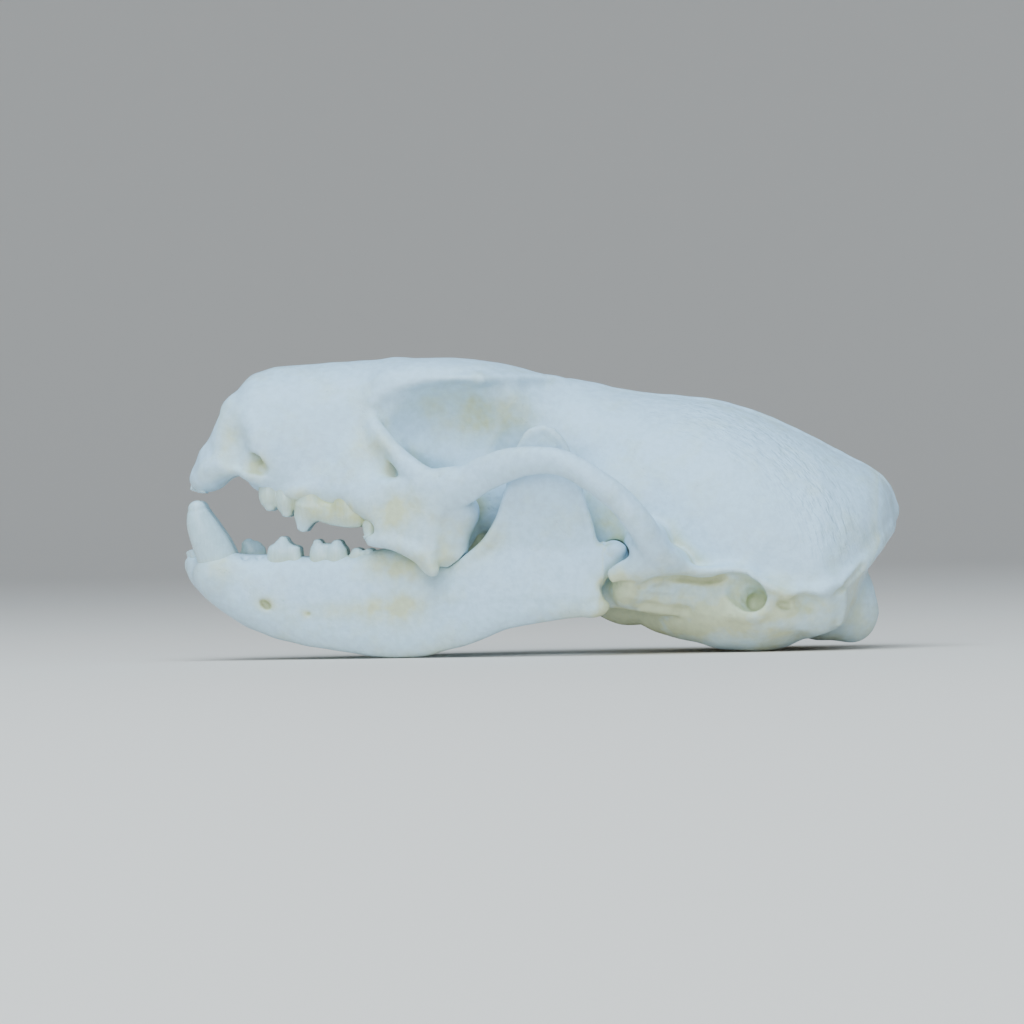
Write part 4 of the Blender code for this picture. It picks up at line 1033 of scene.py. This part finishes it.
def laid_on(field, path):
    """Finds where a path of s and z meets the side of the skull, and lays it there."""
    across = np.arange(0, SIDE_SEARCH_END, SIDE_SEARCH_STEP)
    laid = []
    for s, z, depth, width, height in path:
        line = np.column_stack((np.full_like(across, s), across, np.full_like(across, z)))
        side = across[field.read(line) < 0].max()
        laid.append((s, side - depth, z, width, height))
    return laid


def keep_clear_of_jaws(field):
    """Takes away what would touch the upper edge of the lower jaws."""
    gap = JAW_CLEARANCE
    field.carve(bar([(s, top + gap, bottom, inner - gap, outer + gap)
                     for s, top, bottom, inner, outer in JAW]), 0.1)
    field.carve(rod([(s, y, z, width + gap, height + gap)
                     for s, y, z, width, height in CORONOID_FRONT_RIM]), 0.1)


def cranium_field(step):
    """The skull without its lower jaws. The order counts: each form blends with all that come before it."""
    field = Field(*CRANIUM_BOX, step)
    field.add(vault(FACE), 0.1)
    field.add(vault(CASE), 0.6)
    field.add(vault(PALATE), 0.8)
    field.carve(ball(*ORBIT), 0.9)
    field.add(bar(PTERYGOID), 0.6)
    add_rods(field, (TOOTH_RIDGE, 1.1), (SOCKET_RIM, 0.6))
    field.add(plate(CHEEK_PLATE), 1.0)
    add_rods(field, (FORAMEN_SILL, 0.9), (ORBIT_BAR, 0.6), (BROW, 0.8), (TEMPORAL_LINE, 0.9),
             (SAGITTAL_CREST, 0.8), (NUCHAL_CREST, 1.3), (ARCH, 0.8), (CHEEK_RIDGE, 0.7))
    swell(field, SKULL_BOSSES)
    add_rods(field, (BULLA, 0.3), (MASTOID_BODY, 1.8), (EAR_LIP, 0.7), (EAR_FOLD, 0.5))
    for path in (PAROCCIPITAL_EDGE, *THROAT_STREAKS):
        field.add(rod(laid_on(field, path)), 0.5)
    for path in (EAR_GROOVE, CREST_GROOVE):
        field.carve(rod(laid_on(field, path)), 0.4)
    hollow_out(field, SKULL_HOLLOWS)
    trough = [(HINGE_S, y, HINGE_Z, GLENOID_RADIUS, GLENOID_RADIUS)
              for y in (GLENOID_INNER_Y, GLENOID_OUTER_Y)]
    for path, blend in ((NOSE, 0.4), (THROAT, 0.6), (CANINE_SOCKET, 0.3), (EAR_SCOOP, 0.25),
                        (FORAMEN_TUNNEL, 0.8), (trough, 0.3)):
        field.carve(rod(path), blend)
    field.add(rod(HINGE_LIP), 0.5)
    keep_clear_of_jaws(field)
    field.roughen(UNEVENNESS)
    return field


def jaw_field(step):
    field = Field(*JAW_BOX, step)
    field.add(bar(JAW), 0.1)
    field.add(plate(CORONOID), 1.0)
    condyle = [(HINGE_S, y, HINGE_Z, radius, radius) for y, radius in CONDYLE_PROFILE]
    add_rods(field, (JAW_NECK, 0.8), (CORONOID_REAR_RIM, 0.5), (CORONOID_FRONT_RIM, 0.6), (condyle, 0.5))
    swell(field, JAW_BOSSES)
    hollow_out(field, JAW_HOLLOWS)
    field.roughen(UNEVENNESS)
    return field


def teeth_field(teeth, box, step):
    """Crowns and roots. The cusps of one tooth run together, and each tooth stays clear of the next."""
    whole = Field(*box, step)
    for cusps in teeth:
        tooth = Field(*box, step)
        for cusp in cusps:
            tooth.add(rod(cusp), CUSP_BLEND)
        whole.values = np.minimum(whole.values, tooth.values)
    return whole


def keep_clear_of_midline(field):
    """Leaves a gap between the two lower jaws, where the cartilage of the chin was."""
    y = field.low[1] + field.step * np.arange(field.shape[1], dtype=np.float32)[None, :, None]
    field.values = -smooth_min(-field.values, y - MIDLINE_GAP, MIDLINE_EDGE)


def build_cranium(sizes):
    whole = cranium_field(sizes.bone_step / MM).both_sides()
    obj, points = covered("cranium_bone", whole, sizes.bone_triangles)
    mark_surface(obj, whole, points)
    return obj


def build_jaws(sizes):
    """Both lower jaws. Two cheek teeth of the left one are lost, and their sockets are open."""
    jaws = []
    right = jaw_field(sizes.jaw_step / MM)
    left = right.copy()
    hollow_out(left, EMPTY_SOCKETS)
    for name, field, side in (("jaw_bone_left", left, LEFT), ("jaw_bone_right", right, RIGHT)):
        keep_clear_of_midline(field)
        obj, points = covered(name, field, sizes.jaw_triangles, side)
        mark_surface(obj, field, points)
        jaws.append(obj)
    return jaws


def build_teeth(name, teeth, box, sizes, side):
    """A row of teeth, marked with how yellow they are toward the bone that they grow from."""
    field = teeth_field(teeth, box, sizes.tooth_step / MM)
    obj, points = covered(name, field, sizes.teeth_triangles, side)
    mark_surface(obj, field, points)
    s, z = points[:, 0], points[:, 2]
    if name.startswith("upper"):
        above = z - UPPER_NECK_Z + UPPER_NECK_FALL * (s - UPPER_NECK_S)
        neck = np.clip(above / UPPER_NECK_FADE, 0, 1) * np.clip((s - FRONT_S) / FRONT_REACH, FRONT_SHARE, 1)
    else:
        start = LOWER_NECK_Z - LOWER_NECK_FALL * np.clip(CANINE_REAR_S - s, 0, CANINE_REAR_S)
        neck = np.clip((start - z) / LOWER_NECK_FADE, 0, 1)
    mark(obj, "neck", neck)
    return obj


# Finishes


def feed(tree, node, feeds):
    """Feeds a node's inputs with values or with other nodes' sockets."""
    for key, value in feeds.items():
        if isinstance(value, bpy.types.NodeSocket):
            tree.links.new(value, node.inputs[key])
        else:
            node.inputs[key].default_value = value


def put(tree, kind, feeds=None, **settings):
    """Adds a node, sets it up and feeds its inputs."""
    node = tree.nodes.new(kind)
    for key, value in settings.items():
        setattr(node, key, value)
    feed(tree, node, feeds or {})
    return node


def result_of(tree, kind, feeds=None, **settings):
    """The first output of a node that is added as put does."""
    return put(tree, kind, feeds, **settings).outputs[0]


def calculated(tree, operation, *terms, clamp=False):
    return result_of(tree, "ShaderNodeMath", dict(enumerate(terms)), operation=operation, use_clamp=clamp)


def vector(tree, *parts):
    return result_of(tree, "ShaderNodeCombineXYZ", dict(enumerate(parts)))


def noise(tree, place, scale, detail=3.0, roughness=0.55):
    feeds = {"Vector": place, "Scale": scale, "Detail": detail, "Roughness": roughness}
    return result_of(tree, "ShaderNodeTexNoise", feeds)


def mixed(tree, share, first, second):
    """The first colour with a share of the second."""
    return put(tree, "ShaderNodeMix", {0: share, 6: first, 7: second}, data_type="RGBA").outputs[2]


def ranged(tree, value, given, wanted=(0.0, 1.0)):
    """Carries a value over from a given range to a wanted one, eased at both ends."""
    feeds = dict(enumerate((value, *given, *wanted)))
    return result_of(tree, "ShaderNodeMapRange", feeds, interpolation_type="SMOOTHSTEP")


def attribute(tree, name):
    return put(tree, "ShaderNodeAttribute", attribute_name=name).outputs["Fac"]


def relief(tree, height, layers, strength, depth):
    """A bumped normal from a height and further layers, each with its share in the height."""
    for layer, share in layers:
        height = calculated(tree, "MULTIPLY_ADD", layer, share, height)
    return result_of(tree, "ShaderNodeBump", {"Strength": strength, "Distance": depth, "Height": height})


def new_material(name):
    """A new material with its node tree and its shader."""
    made = bpy.data.materials.new(name)
    made.use_nodes = True
    return made, made.node_tree, made.node_tree.nodes["Principled BSDF"]


def muscle_scars(tree, place):
    """Short dashes along arcs round the scar centre."""
    centre = to_metres((SCAR_CENTRE[0], 0, SCAR_CENTRE[1]))
    moved = result_of(tree, "ShaderNodeMapping", {"Vector": place, "Location": tuple(-centre)})
    x, y, z = put(tree, "ShaderNodeSeparateXYZ", {0: moved}).outputs
    flat = vector(tree, x, 0.0, z)
    radius = put(tree, "ShaderNodeVectorMath", {0: flat}, operation="LENGTH").outputs["Value"]
    turn = calculated(tree, "ARCTAN2", z, x)
    ways = [calculated(tree, "MULTIPLY", way, grain) for way, grain in zip((radius, y, turn), SCAR_GRAIN)]
    return ranged(tree, noise(tree, vector(tree, *ways), 1.0, 2.0, 0.6), (0.42, 0.62))


def build_bone_material(colours):
    """Bleached bone: cool and pale, yellow where it is stained, with painted shade that yellows it where it
    is deep set and darkens it in hollows, and with pores and muscle scars.
    """
    made, tree, shader = new_material("bleached_bone")
    place = put(tree, "ShaderNodeTexCoord").outputs["Object"]
    hollow_shade, stain_and_shade, scar = (attribute(tree, name) for name in ("hollow_shade", "stain_and_shade", "scar"))
    clouds = noise(tree, place, 260.0, 3.0, 0.6)
    mottle = noise(tree, place, 1500.0, 2.0)
    # The stain mark holds the bone's own stains together with painted shade, broken up by clouds.
    patchy = calculated(tree, "MULTIPLY", stain_and_shade, ranged(tree, clouds, (0.32, 0.66), (0.55, 1.75)))
    # Painted shade: deep-set bone is given more of the yellow colour.
    deep_shade = ranged(tree, hollow_shade, (0.25, 0.8), (0.0, 0.55))
    drift = ranged(tree, clouds, (0.48, 0.72), (0.0, 0.22))
    warm_share = calculated(tree, "ADD", calculated(tree, "ADD", patchy, deep_shade), drift, clamp=True)
    tint = mixed(tree, warm_share, colours.bone, colours.stained_and_shaded_bone)
    # Painted shade: the deepest hollows are darkened toward the shaded hollow colour.
    shade_share = calculated(tree, "MULTIPLY", ranged(tree, hollow_shade, (0.55, 0.98)), 0.6)
    tint = mixed(tree, shade_share, tint, colours.shaded_hollow_bone)
    speckle = ranged(tree, mottle, (0.3, 0.7), (0.94, 1.04))
    shade = result_of(tree, "ShaderNodeHueSaturation", {"Value": speckle, "Color": tint})
    gloss = calculated(tree, "MULTIPLY_ADD", stain_and_shade, 0.1, ranged(tree, mottle, (0.3, 0.7), (0.4, 0.54)))
    cells = put(tree, "ShaderNodeTexVoronoi", {"Vector": place, "Scale": 2300.0}).outputs["Distance"]
    porous = ranged(tree, clouds, (0.5, 0.66))
    pores = calculated(tree, "MULTIPLY", ranged(tree, cells, (0.08, 0.3), (1.0, 0.0)), porous)
    dashes = calculated(tree, "MULTIPLY", muscle_scars(tree, place), scar)
    swells, grain = noise(tree, place, 620.0, 2.0), noise(tree, place, 5200.0, 1.0)
    layers = ((swells, 1.2), (clouds, 2.5), (grain, 0.22), (pores, -0.55), (dashes, -1.7))
    uneven = relief(tree, mottle, layers, 0.8, 0.00006)
    feed(tree, shader, {"Base Color": shade, "Roughness": gloss, "Normal": uneven})
    return made


def build_enamel_material(colours):
    """Tooth enamel: smooth and cool at the tips, yellow toward the neck and, as painted shade, where other
    teeth or bone stand close, with fine lines along the crown.
    """
    made, tree, shader = new_material("tooth_enamel")
    place = put(tree, "ShaderNodeTexCoord").outputs["Object"]
    neck, hollow_shade = attribute(tree, "neck"), attribute(tree, "hollow_shade")
    clouds = noise(tree, place, 700.0, 4.0)
    warm = calculated(tree, "MULTIPLY", neck, ranged(tree, clouds, (0.3, 0.7), (0.6, 1.2)))
    # Painted shade: teeth are yellower where other teeth or bone stand close round.
    warm = calculated(tree, "MULTIPLY_ADD", hollow_shade, 0.3, warm, clamp=True)
    tint = mixed(tree, warm, colours.enamel, colours.tooth_neck)
    drawn_out = result_of(tree, "ShaderNodeMapping", {"Vector": place, "Scale": (4200.0, 4200.0, 420.0)})
    lines = ranged(tree, noise(tree, drawn_out, 1.0, 2.0), (0.35, 0.7), (0.95, 1.03))
    feed(tree, shader, {
        "Base Color": result_of(tree, "ShaderNodeHueSaturation", {"Value": lines, "Color": tint}),
        "Roughness": ranged(tree, clouds, (0.3, 0.7), (0.22, 0.36)),
        "Normal": relief(tree, lines, ((clouds, 1.5),), 0.5, 0.00003),
        "Subsurface Weight": 0.15,
        "Subsurface Radius": (1.0, 0.8, 0.6),
        "Subsurface Scale": 0.0006,
    })
    return made


# Incisors and nose scrolls, grown by node trees

NUMBER, WHOLE, TRIPLE = "NodeSocketFloat", "NodeSocketInt", "NodeSocketVector"
MATERIAL = "NodeSocketMaterial"


def geometry_tree(name, inputs):
    """A geometry node tree with one output, and the sockets of its named inputs."""
    tree = bpy.data.node_groups.new(name, "GeometryNodeTree")
    tree.interface.new_socket("Geometry", in_out="OUTPUT", socket_type="NodeSocketGeometry")
    for label, kind in inputs:
        tree.interface.new_socket(label, in_out="INPUT", socket_type=kind)
    return tree, put(tree, "NodeGroupInput").outputs[:len(inputs)]


def carried(tree, geometry, way):
    """Geometry that is moved along a vector."""
    return result_of(tree, "GeometryNodeTransform", {"Geometry": geometry, "Translation": way})


def finish_tree(tree, geometry, material):
    """Makes the geometry a smooth mesh of one material, and the tree's output."""
    solid = result_of(tree, "GeometryNodeRealizeInstances", {0: geometry})
    smooth = result_of(tree, "GeometryNodeSetShadeSmooth", {"Geometry": solid})
    finished = result_of(tree, "GeometryNodeSetMaterial", {"Geometry": smooth, "Material": material})
    put(tree, "NodeGroupOutput", {0: finished})


def grown(name, tree, values):
    """A plain mesh object from a node tree and a value for each of its inputs."""
    obj = mesh_object(name, np.zeros((3, 3)), np.array([[0, 1, 2]]))
    modifier = obj.modifiers.new("Growth", "NODES")
    modifier.node_group = tree
    identifiers = {item.name: item.identifier
                   for item in tree.interface.items_tree if item.in_out == "INPUT"}
    for label, value in values.items():
        modifier[identifiers[label]] = value
    bake_modifiers(obj)
    bm = bmesh.new()
    bm.from_mesh(obj.data)
    bmesh.ops.remove_doubles(bm, verts=bm.verts, dist=MERGE_DISTANCE)
    bmesh.ops.recalc_face_normals(bm, faces=bm.faces)
    bm.to_mesh(obj.data)
    bm.free()
    return obj


def incisor_tree():
    """A row of peg-shaped teeth along an arc, the outer ones larger."""
    tree, given = geometry_tree("incisor_row", (
        ("Count", WHOLE), ("Arc Radius", NUMBER), ("Half Spread", NUMBER), ("Centre", TRIPLE),
        ("Length", NUMBER), ("Thickness", NUMBER), ("Breadth", NUMBER), ("Outer Growth", NUMBER),
        ("Lean", NUMBER), ("Material", MATERIAL)))
    count, arc_radius, half_spread, centre, length, thickness, breadth, growth, lean, material = given
    arc = result_of(tree, "GeometryNodeCurveArc", {
        "Resolution": count, "Radius": arc_radius,
        "Start Angle": calculated(tree, "SUBTRACT", math.pi, half_spread),
        "Sweep Angle": calculated(tree, "MULTIPLY", half_spread, 2.0)})
    index = result_of(tree, "GeometryNodeInputIndex")
    middle = calculated(tree, "MULTIPLY", calculated(tree, "SUBTRACT", count, 1.0), 0.5)
    place = calculated(tree, "DIVIDE", calculated(tree, "SUBTRACT", index, middle), middle)
    turn = calculated(tree, "MULTIPLY_ADD", place, half_spread, math.pi)
    size = calculated(tree, "MULTIPLY_ADD", calculated(tree, "ABSOLUTE", place), growth, 1.0)
    tip = vector(tree, 0.0, 0.0, length)
    axis = result_of(tree, "GeometryNodeCurvePrimitiveLine", {"Start": (0, 0, 0), "End": tip})
    axis = result_of(tree, "GeometryNodeResampleCurve", {"Curve": axis, "Count": 12})
    up = put(tree, "GeometryNodeSplineParameter").outputs["Factor"]
    swelling = ranged(tree, up, (0.0, 0.5), (0.8, 1.0))
    narrowing = ranged(tree, up, (0.45, 1.0), (0.0, 0.85))
    taper = calculated(tree, "SUBTRACT", swelling, narrowing)
    axis = result_of(tree, "GeometryNodeSetCurveRadius", {"Curve": axis, "Radius": taper})
    neck = calculated(tree, "SUBTRACT", 0.8, up)
    axis = result_of(tree, "GeometryNodeStoreNamedAttribute", {
        "Geometry": axis, "Name": "neck", "Value": neck})
    ring = result_of(tree, "GeometryNodeCurvePrimitiveCircle", {"Resolution": 16, "Radius": thickness})
    peg = result_of(tree, "GeometryNodeCurveToMesh", {
        "Curve": axis, "Profile Curve": ring, "Fill Caps": True})
    wide = calculated(tree, "MULTIPLY", size, breadth)
    row = result_of(tree, "GeometryNodeInstanceOnPoints", {
        "Points": arc, "Instance": peg, "Rotation": vector(tree, 0.0, lean, turn),
        "Scale": vector(tree, size, wide, size)})
    finish_tree(tree, carried(tree, row, centre), material)
    return tree


def scroll_tree():
    """Thin bone scrolls in pairs beside the midline, and the wall between them."""
    tree, given = geometry_tree("nose_scrolls", (
        ("Count", WHOLE), ("Side Offset", NUMBER), ("Rise", NUMBER), ("Length", NUMBER),
        ("Thickness", NUMBER), ("Scroll Radius", NUMBER), ("Turns", NUMBER), ("Place", TRIPLE),
        ("Wall Size", TRIPLE), ("Wall Rise", TRIPLE), ("Material", MATERIAL)))
    count, aside, rise, length, thickness, radius, turns, place, wall_size, wall_rise, material = given
    spiral = result_of(tree, "GeometryNodeCurveSpiral", {
        "Resolution": 40, "Rotations": turns, "Start Radius": calculated(tree, "MULTIPLY", radius, 0.25),
        "End Radius": radius, "Height": 0.0})
    strip = result_of(tree, "GeometryNodeCurvePrimitiveQuadrilateral", {
        "Width": thickness, "Height": length})
    scroll = result_of(tree, "GeometryNodeCurveToMesh", {
        "Curve": spiral, "Profile Curve": strip, "Fill Caps": True})
    scroll = result_of(tree, "GeometryNodeTransform", {"Geometry": scroll, "Rotation": (0, math.pi / 2, 0)})
    index = result_of(tree, "GeometryNodeInputIndex")
    side = calculated(tree, "MULTIPLY_ADD", calculated(tree, "MODULO", index, 2.0), -2.0, 1.0)
    level = calculated(tree, "FLOOR", calculated(tree, "MULTIPLY", index, 0.5))
    outward, upward = calculated(tree, "MULTIPLY", side, aside), calculated(tree, "MULTIPLY", level, rise)
    points = result_of(tree, "GeometryNodePoints", {
        "Count": count, "Position": vector(tree, 0.0, outward, upward)})
    scrolls = result_of(tree, "GeometryNodeInstanceOnPoints", {
        "Points": points, "Instance": scroll, "Scale": vector(tree, 1.0, side, 1.0)})
    wall = result_of(tree, "GeometryNodeMeshCube", {"Size": wall_size})
    joined = put(tree, "GeometryNodeJoinGeometry")
    for geometry in (scrolls, carried(tree, wall, wall_rise)):
        tree.links.new(geometry, joined.inputs[0])
    finish_tree(tree, carried(tree, joined.outputs[0], place), material)
    return tree


# The add-on


class SkullSizes(bpy.types.PropertyGroup):
    bone_step: bpy.props.FloatProperty(
        name="Bone step", description="Spacing of the grid that the skull's surface is worked out on",
        default=0.00024, min=0.0001, unit="LENGTH", precision=5)
    bone_triangles: bpy.props.IntProperty(
        name="Bone triangles", description="Most triangles in the skull's mesh", default=196000, min=10000)
    jaw_step: bpy.props.FloatProperty(
        name="Jaw step", description="Spacing of the grid that a lower jaw's surface is worked out on",
        default=0.0002, min=0.0001, unit="LENGTH", precision=5)
    jaw_triangles: bpy.props.IntProperty(
        name="Jaw triangles", description="Most triangles in a lower jaw's mesh", default=90000, min=10000)
    tooth_step: bpy.props.FloatProperty(
        name="Tooth step", description="Spacing of the grid that the teeth's surface is worked out on",
        default=0.00012, min=0.00005, unit="LENGTH", precision=5)
    teeth_triangles: bpy.props.IntProperty(
        name="Teeth triangles", description="Most triangles in one row of teeth", default=60000, min=5000)


class SkullColours(bpy.types.PropertyGroup):
    bone: bpy.props.FloatVectorProperty(
        name="Bone", description="Colour of clean bone", size=4, subtype="COLOR",
        default=(0.56, 0.755, 0.90, 1.0), min=0, max=1)
    # The bone's own yellowing, also used for painted shade on undersides and in recesses.
    stained_and_shaded_bone: bpy.props.FloatVectorProperty(
        name="Stained bone", description="Colour of bone that has yellowed", size=4, subtype="COLOR",
        default=(0.62, 0.66, 0.44, 1.0), min=0, max=1)
    # Painted shade: the dark yellow given to bone deep in holes and pits.
    shaded_hollow_bone: bpy.props.FloatVectorProperty(
        name="Hollow bone", description="Colour of bone deep in holes and pits", size=4, subtype="COLOR",
        default=(0.58, 0.55, 0.36, 1.0), min=0, max=1)
    enamel: bpy.props.FloatVectorProperty(
        name="Enamel", description="Colour of the teeth's tips", size=4, subtype="COLOR",
        default=(0.56, 0.73, 0.80, 1.0), min=0, max=1)
    tooth_neck: bpy.props.FloatVectorProperty(
        name="Tooth neck", description="Colour of the teeth next to the bone", size=4, subtype="COLOR",
        default=(0.57, 0.60, 0.34, 1.0), min=0, max=1)
    floor: bpy.props.FloatVectorProperty(
        name="Floor", description="Colour of the studio floor", size=4, subtype="COLOR",
        default=(0.80, 0.68, 0.60, 1.0), min=0, max=1)


class SKULL_OT_cranium(bpy.types.Operator):
    """Models the skull without its lower jaws, with its arches and ear capsules"""
    bl_idname = "skull.cranium"
    bl_label = "Cranium"

    def execute(self, context):
        scene = context.scene
        obj = build_cranium(scene.skull_sizes)
        obj.data.materials.append(build_bone_material(scene.skull_colours))
        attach(obj, "root")
        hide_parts("rostrum", "braincase", "zygomatic_arch_left", "zygomatic_arch_right",
                    "auditory_bulla_left", "auditory_bulla_right")
        return {"FINISHED"}


class SKULL_OT_jaws(bpy.types.Operator):
    """Models the two lower jaws, each a bone of its own"""
    bl_idname = "skull.jaws"
    bl_label = "Lower Jaws"

    def execute(self, context):
        scene = context.scene
        finish = build_bone_material(scene.skull_colours)
        for obj, node in zip(build_jaws(scene.skull_sizes), ("mandible_left", "mandible_right")):
            obj.data.materials.append(finish)
            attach(obj, "root")
            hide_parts(node)
        return {"FINISHED"}


class SKULL_OT_teeth(bpy.types.Operator):
    """Models the cheek teeth and the lower canines"""
    bl_idname = "skull.teeth"
    bl_label = "Teeth"

    def execute(self, context):
        scene = context.scene
        finish = build_enamel_material(scene.skull_colours)
        upper, lower = list(UPPER_TEETH.values()), list(LOWER_TEETH.values())
        rows = (
            ("upper_teeth_left", upper, UPPER_TEETH_BOX, LEFT),
            ("upper_teeth_right", upper, UPPER_TEETH_BOX, RIGHT),
            ("lower_teeth_left", lower, LOWER_TEETH_BOX, LEFT),
            ("lower_teeth_right", [*lower, THIRD_PREMOLAR], LOWER_TEETH_BOX, RIGHT),
        )
        for name, teeth, box, side in rows:
            obj = build_teeth(name, teeth, box, scene.skull_sizes, side)
            obj.data.materials.append(finish)
            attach(obj, "root")
        return {"FINISHED"}


class SKULL_OT_incisors(bpy.types.Operator):
    """Grows the small front teeth along the arcs of both jaws"""
    bl_idname = "skull.incisors"
    bl_label = "Incisors"

    def execute(self, context):
        finish = bpy.data.materials.get("tooth_enamel") or build_enamel_material(context.scene.skull_colours)
        tree = incisor_tree()
        for name, slot, centre, shape in (
                ("upper_incisors", "rostrum", UPPER_INCISOR_PLACE, UPPER_INCISORS),
                ("lower_incisors", "mandible", LOWER_INCISOR_PLACE, LOWER_INCISORS)):
            obj = grown(name, tree, {"Centre": tuple(to_metres(centre)), "Material": finish, **shape})
            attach(obj, "root")
        return {"FINISHED"}


class SKULL_OT_nose(bpy.types.Operator):
    """Grows the thin bone scrolls inside the nose"""
    bl_idname = "skull.nose"
    bl_label = "Nose Scrolls"

    def execute(self, context):
        finish = bpy.data.materials.get("bleached_bone") or build_bone_material(context.scene.skull_colours)
        obj = grown("nose_scrolls", scroll_tree(), {
            "Place": tuple(to_metres(SCROLL_PLACE)), "Material": finish, **NOSE_SCROLLS})
        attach(obj, "root")
        return {"FINISHED"}


def area_light(name, place, size, power, colour):
    """A round soft light that looks at the skull."""
    light = bpy.data.lights.new(name, "AREA")
    light.shape = "DISK"
    light.size = size
    light.energy = power
    light.color = colour
    obj = placed(name, light)
    obj.location = place
    obj.rotation_euler = (Vector(LIGHT_TARGET) - Vector(place)).to_track_quat("-Z", "Y").to_euler()


def studio_air():
    """A world that lights the skull evenly from all round."""
    world = bpy.data.worlds.new("studio_air")
    world.use_nodes = True
    tree = world.node_tree
    feed(tree, tree.nodes["Background"], {"Color": AIR_COLOUR, "Strength": AIR_STRENGTH})
    return world


def photo_camera():
    """A camera that looks along Y, level, and is turned a little about its own axis."""
    camera = bpy.data.cameras.new("photo_camera")
    camera.sensor_width = SENSOR_WIDTH
    camera.lens = -CAMERA_PLACE[1] * SENSOR_WIDTH / VIEW_WIDTH
    eye = placed("photo_camera", camera)
    roll = math.radians(CAMERA_ROLL)
    turn = Matrix(((math.cos(roll), math.sin(roll), 0), (0, 0, -1), (-math.sin(roll), math.cos(roll), 0)))
    eye.matrix_world = Matrix.Translation(CAMERA_PLACE) @ turn.to_4x4()
    return eye


def bowl(name):
    """A floor that curves up to a wall all round, so that no edge of it shows."""
    bm = bmesh.new()
    bmesh.ops.create_circle(bm, cap_ends=True, segments=FLOOR_SIDES, radius=FLOOR_RADIUS)
    rim = bm.edges[:]
    turns = [math.pi / 2 * step / BEND_STEPS for step in range(1, BEND_STEPS + 1)]
    profile = [(FLOOR_RADIUS + WALL_BEND * math.sin(turn), WALL_BEND * (1 - math.cos(turn)))
               for turn in turns]
    for radius, height in [*profile, (FLOOR_RADIUS + WALL_BEND, WALL_HEIGHT)]:
        new = bmesh.ops.extrude_edge_only(bm, edges=rim)["geom"]
        corners = {item for item in new if isinstance(item, bmesh.types.BMVert)}
        rim = [item for item in new
               if isinstance(item, bmesh.types.BMEdge) and corners.issuperset(item.verts)]
        for corner in corners:
            way = corner.co.xy.normalized()
            corner.co = (way.x * radius, way.y * radius, height)
    mesh = bpy.data.meshes.new(name)
    bm.to_mesh(mesh)
    bm.free()
    mesh.shade_smooth()
    return placed(name, mesh)


class SKULL_OT_stage(bpy.types.Operator):
    """Sets a plain pale floor, soft studio light and the camera"""
    bl_idname = "skull.stage"
    bl_label = "Studio"

    def execute(self, context):
        scene = context.scene
        floor = bowl("studio_floor")
        finish, tree, shader = new_material("studio_floor")
        feed(tree, shader, {"Base Color": scene.skull_colours.floor, "Roughness": FLOOR_ROUGHNESS})
        floor.data.materials.append(finish)
        for name, place, size, power, colour in LIGHTS:
            area_light(name, place, size, power, colour)
        scene.world = studio_air()
        scene.camera = photo_camera()
        return {"FINISHED"}


class SKULL_PT_pieces(bpy.types.Panel):
    """The pieces of the skull"""
    bl_idname = "SKULL_PT_pieces"
    bl_label = "Mink Skull"
    bl_space_type = "VIEW_3D"
    bl_region_type = "UI"
    bl_category = "Skull"

    def draw(self, context):
        layout = self.layout
        for operator in OPERATORS:
            layout.operator(operator.bl_idname)


OPERATORS = (SKULL_OT_cranium, SKULL_OT_jaws, SKULL_OT_teeth, SKULL_OT_incisors, SKULL_OT_nose,
             SKULL_OT_stage)
CLASSES = (SkullSizes, SkullColours, *OPERATORS, SKULL_PT_pieces)


def register():
    for cls in CLASSES:
        bpy.utils.register_class(cls)
    bpy.types.Scene.skull_sizes = bpy.props.PointerProperty(type=SkullSizes)
    bpy.types.Scene.skull_colours = bpy.props.PointerProperty(type=SkullColours)


def unregister():
    del bpy.types.Scene.skull_colours
    del bpy.types.Scene.skull_sizes
    for cls in reversed(CLASSES):
        bpy.utils.unregister_class(cls)


def main():
    register()
    bpy.ops.skull.cranium()
    bpy.ops.skull.jaws()
    bpy.ops.skull.teeth()
    bpy.ops.skull.incisors()
    bpy.ops.skull.nose()
    bpy.ops.skull.stage()


if __name__ == "__main__":
    main()
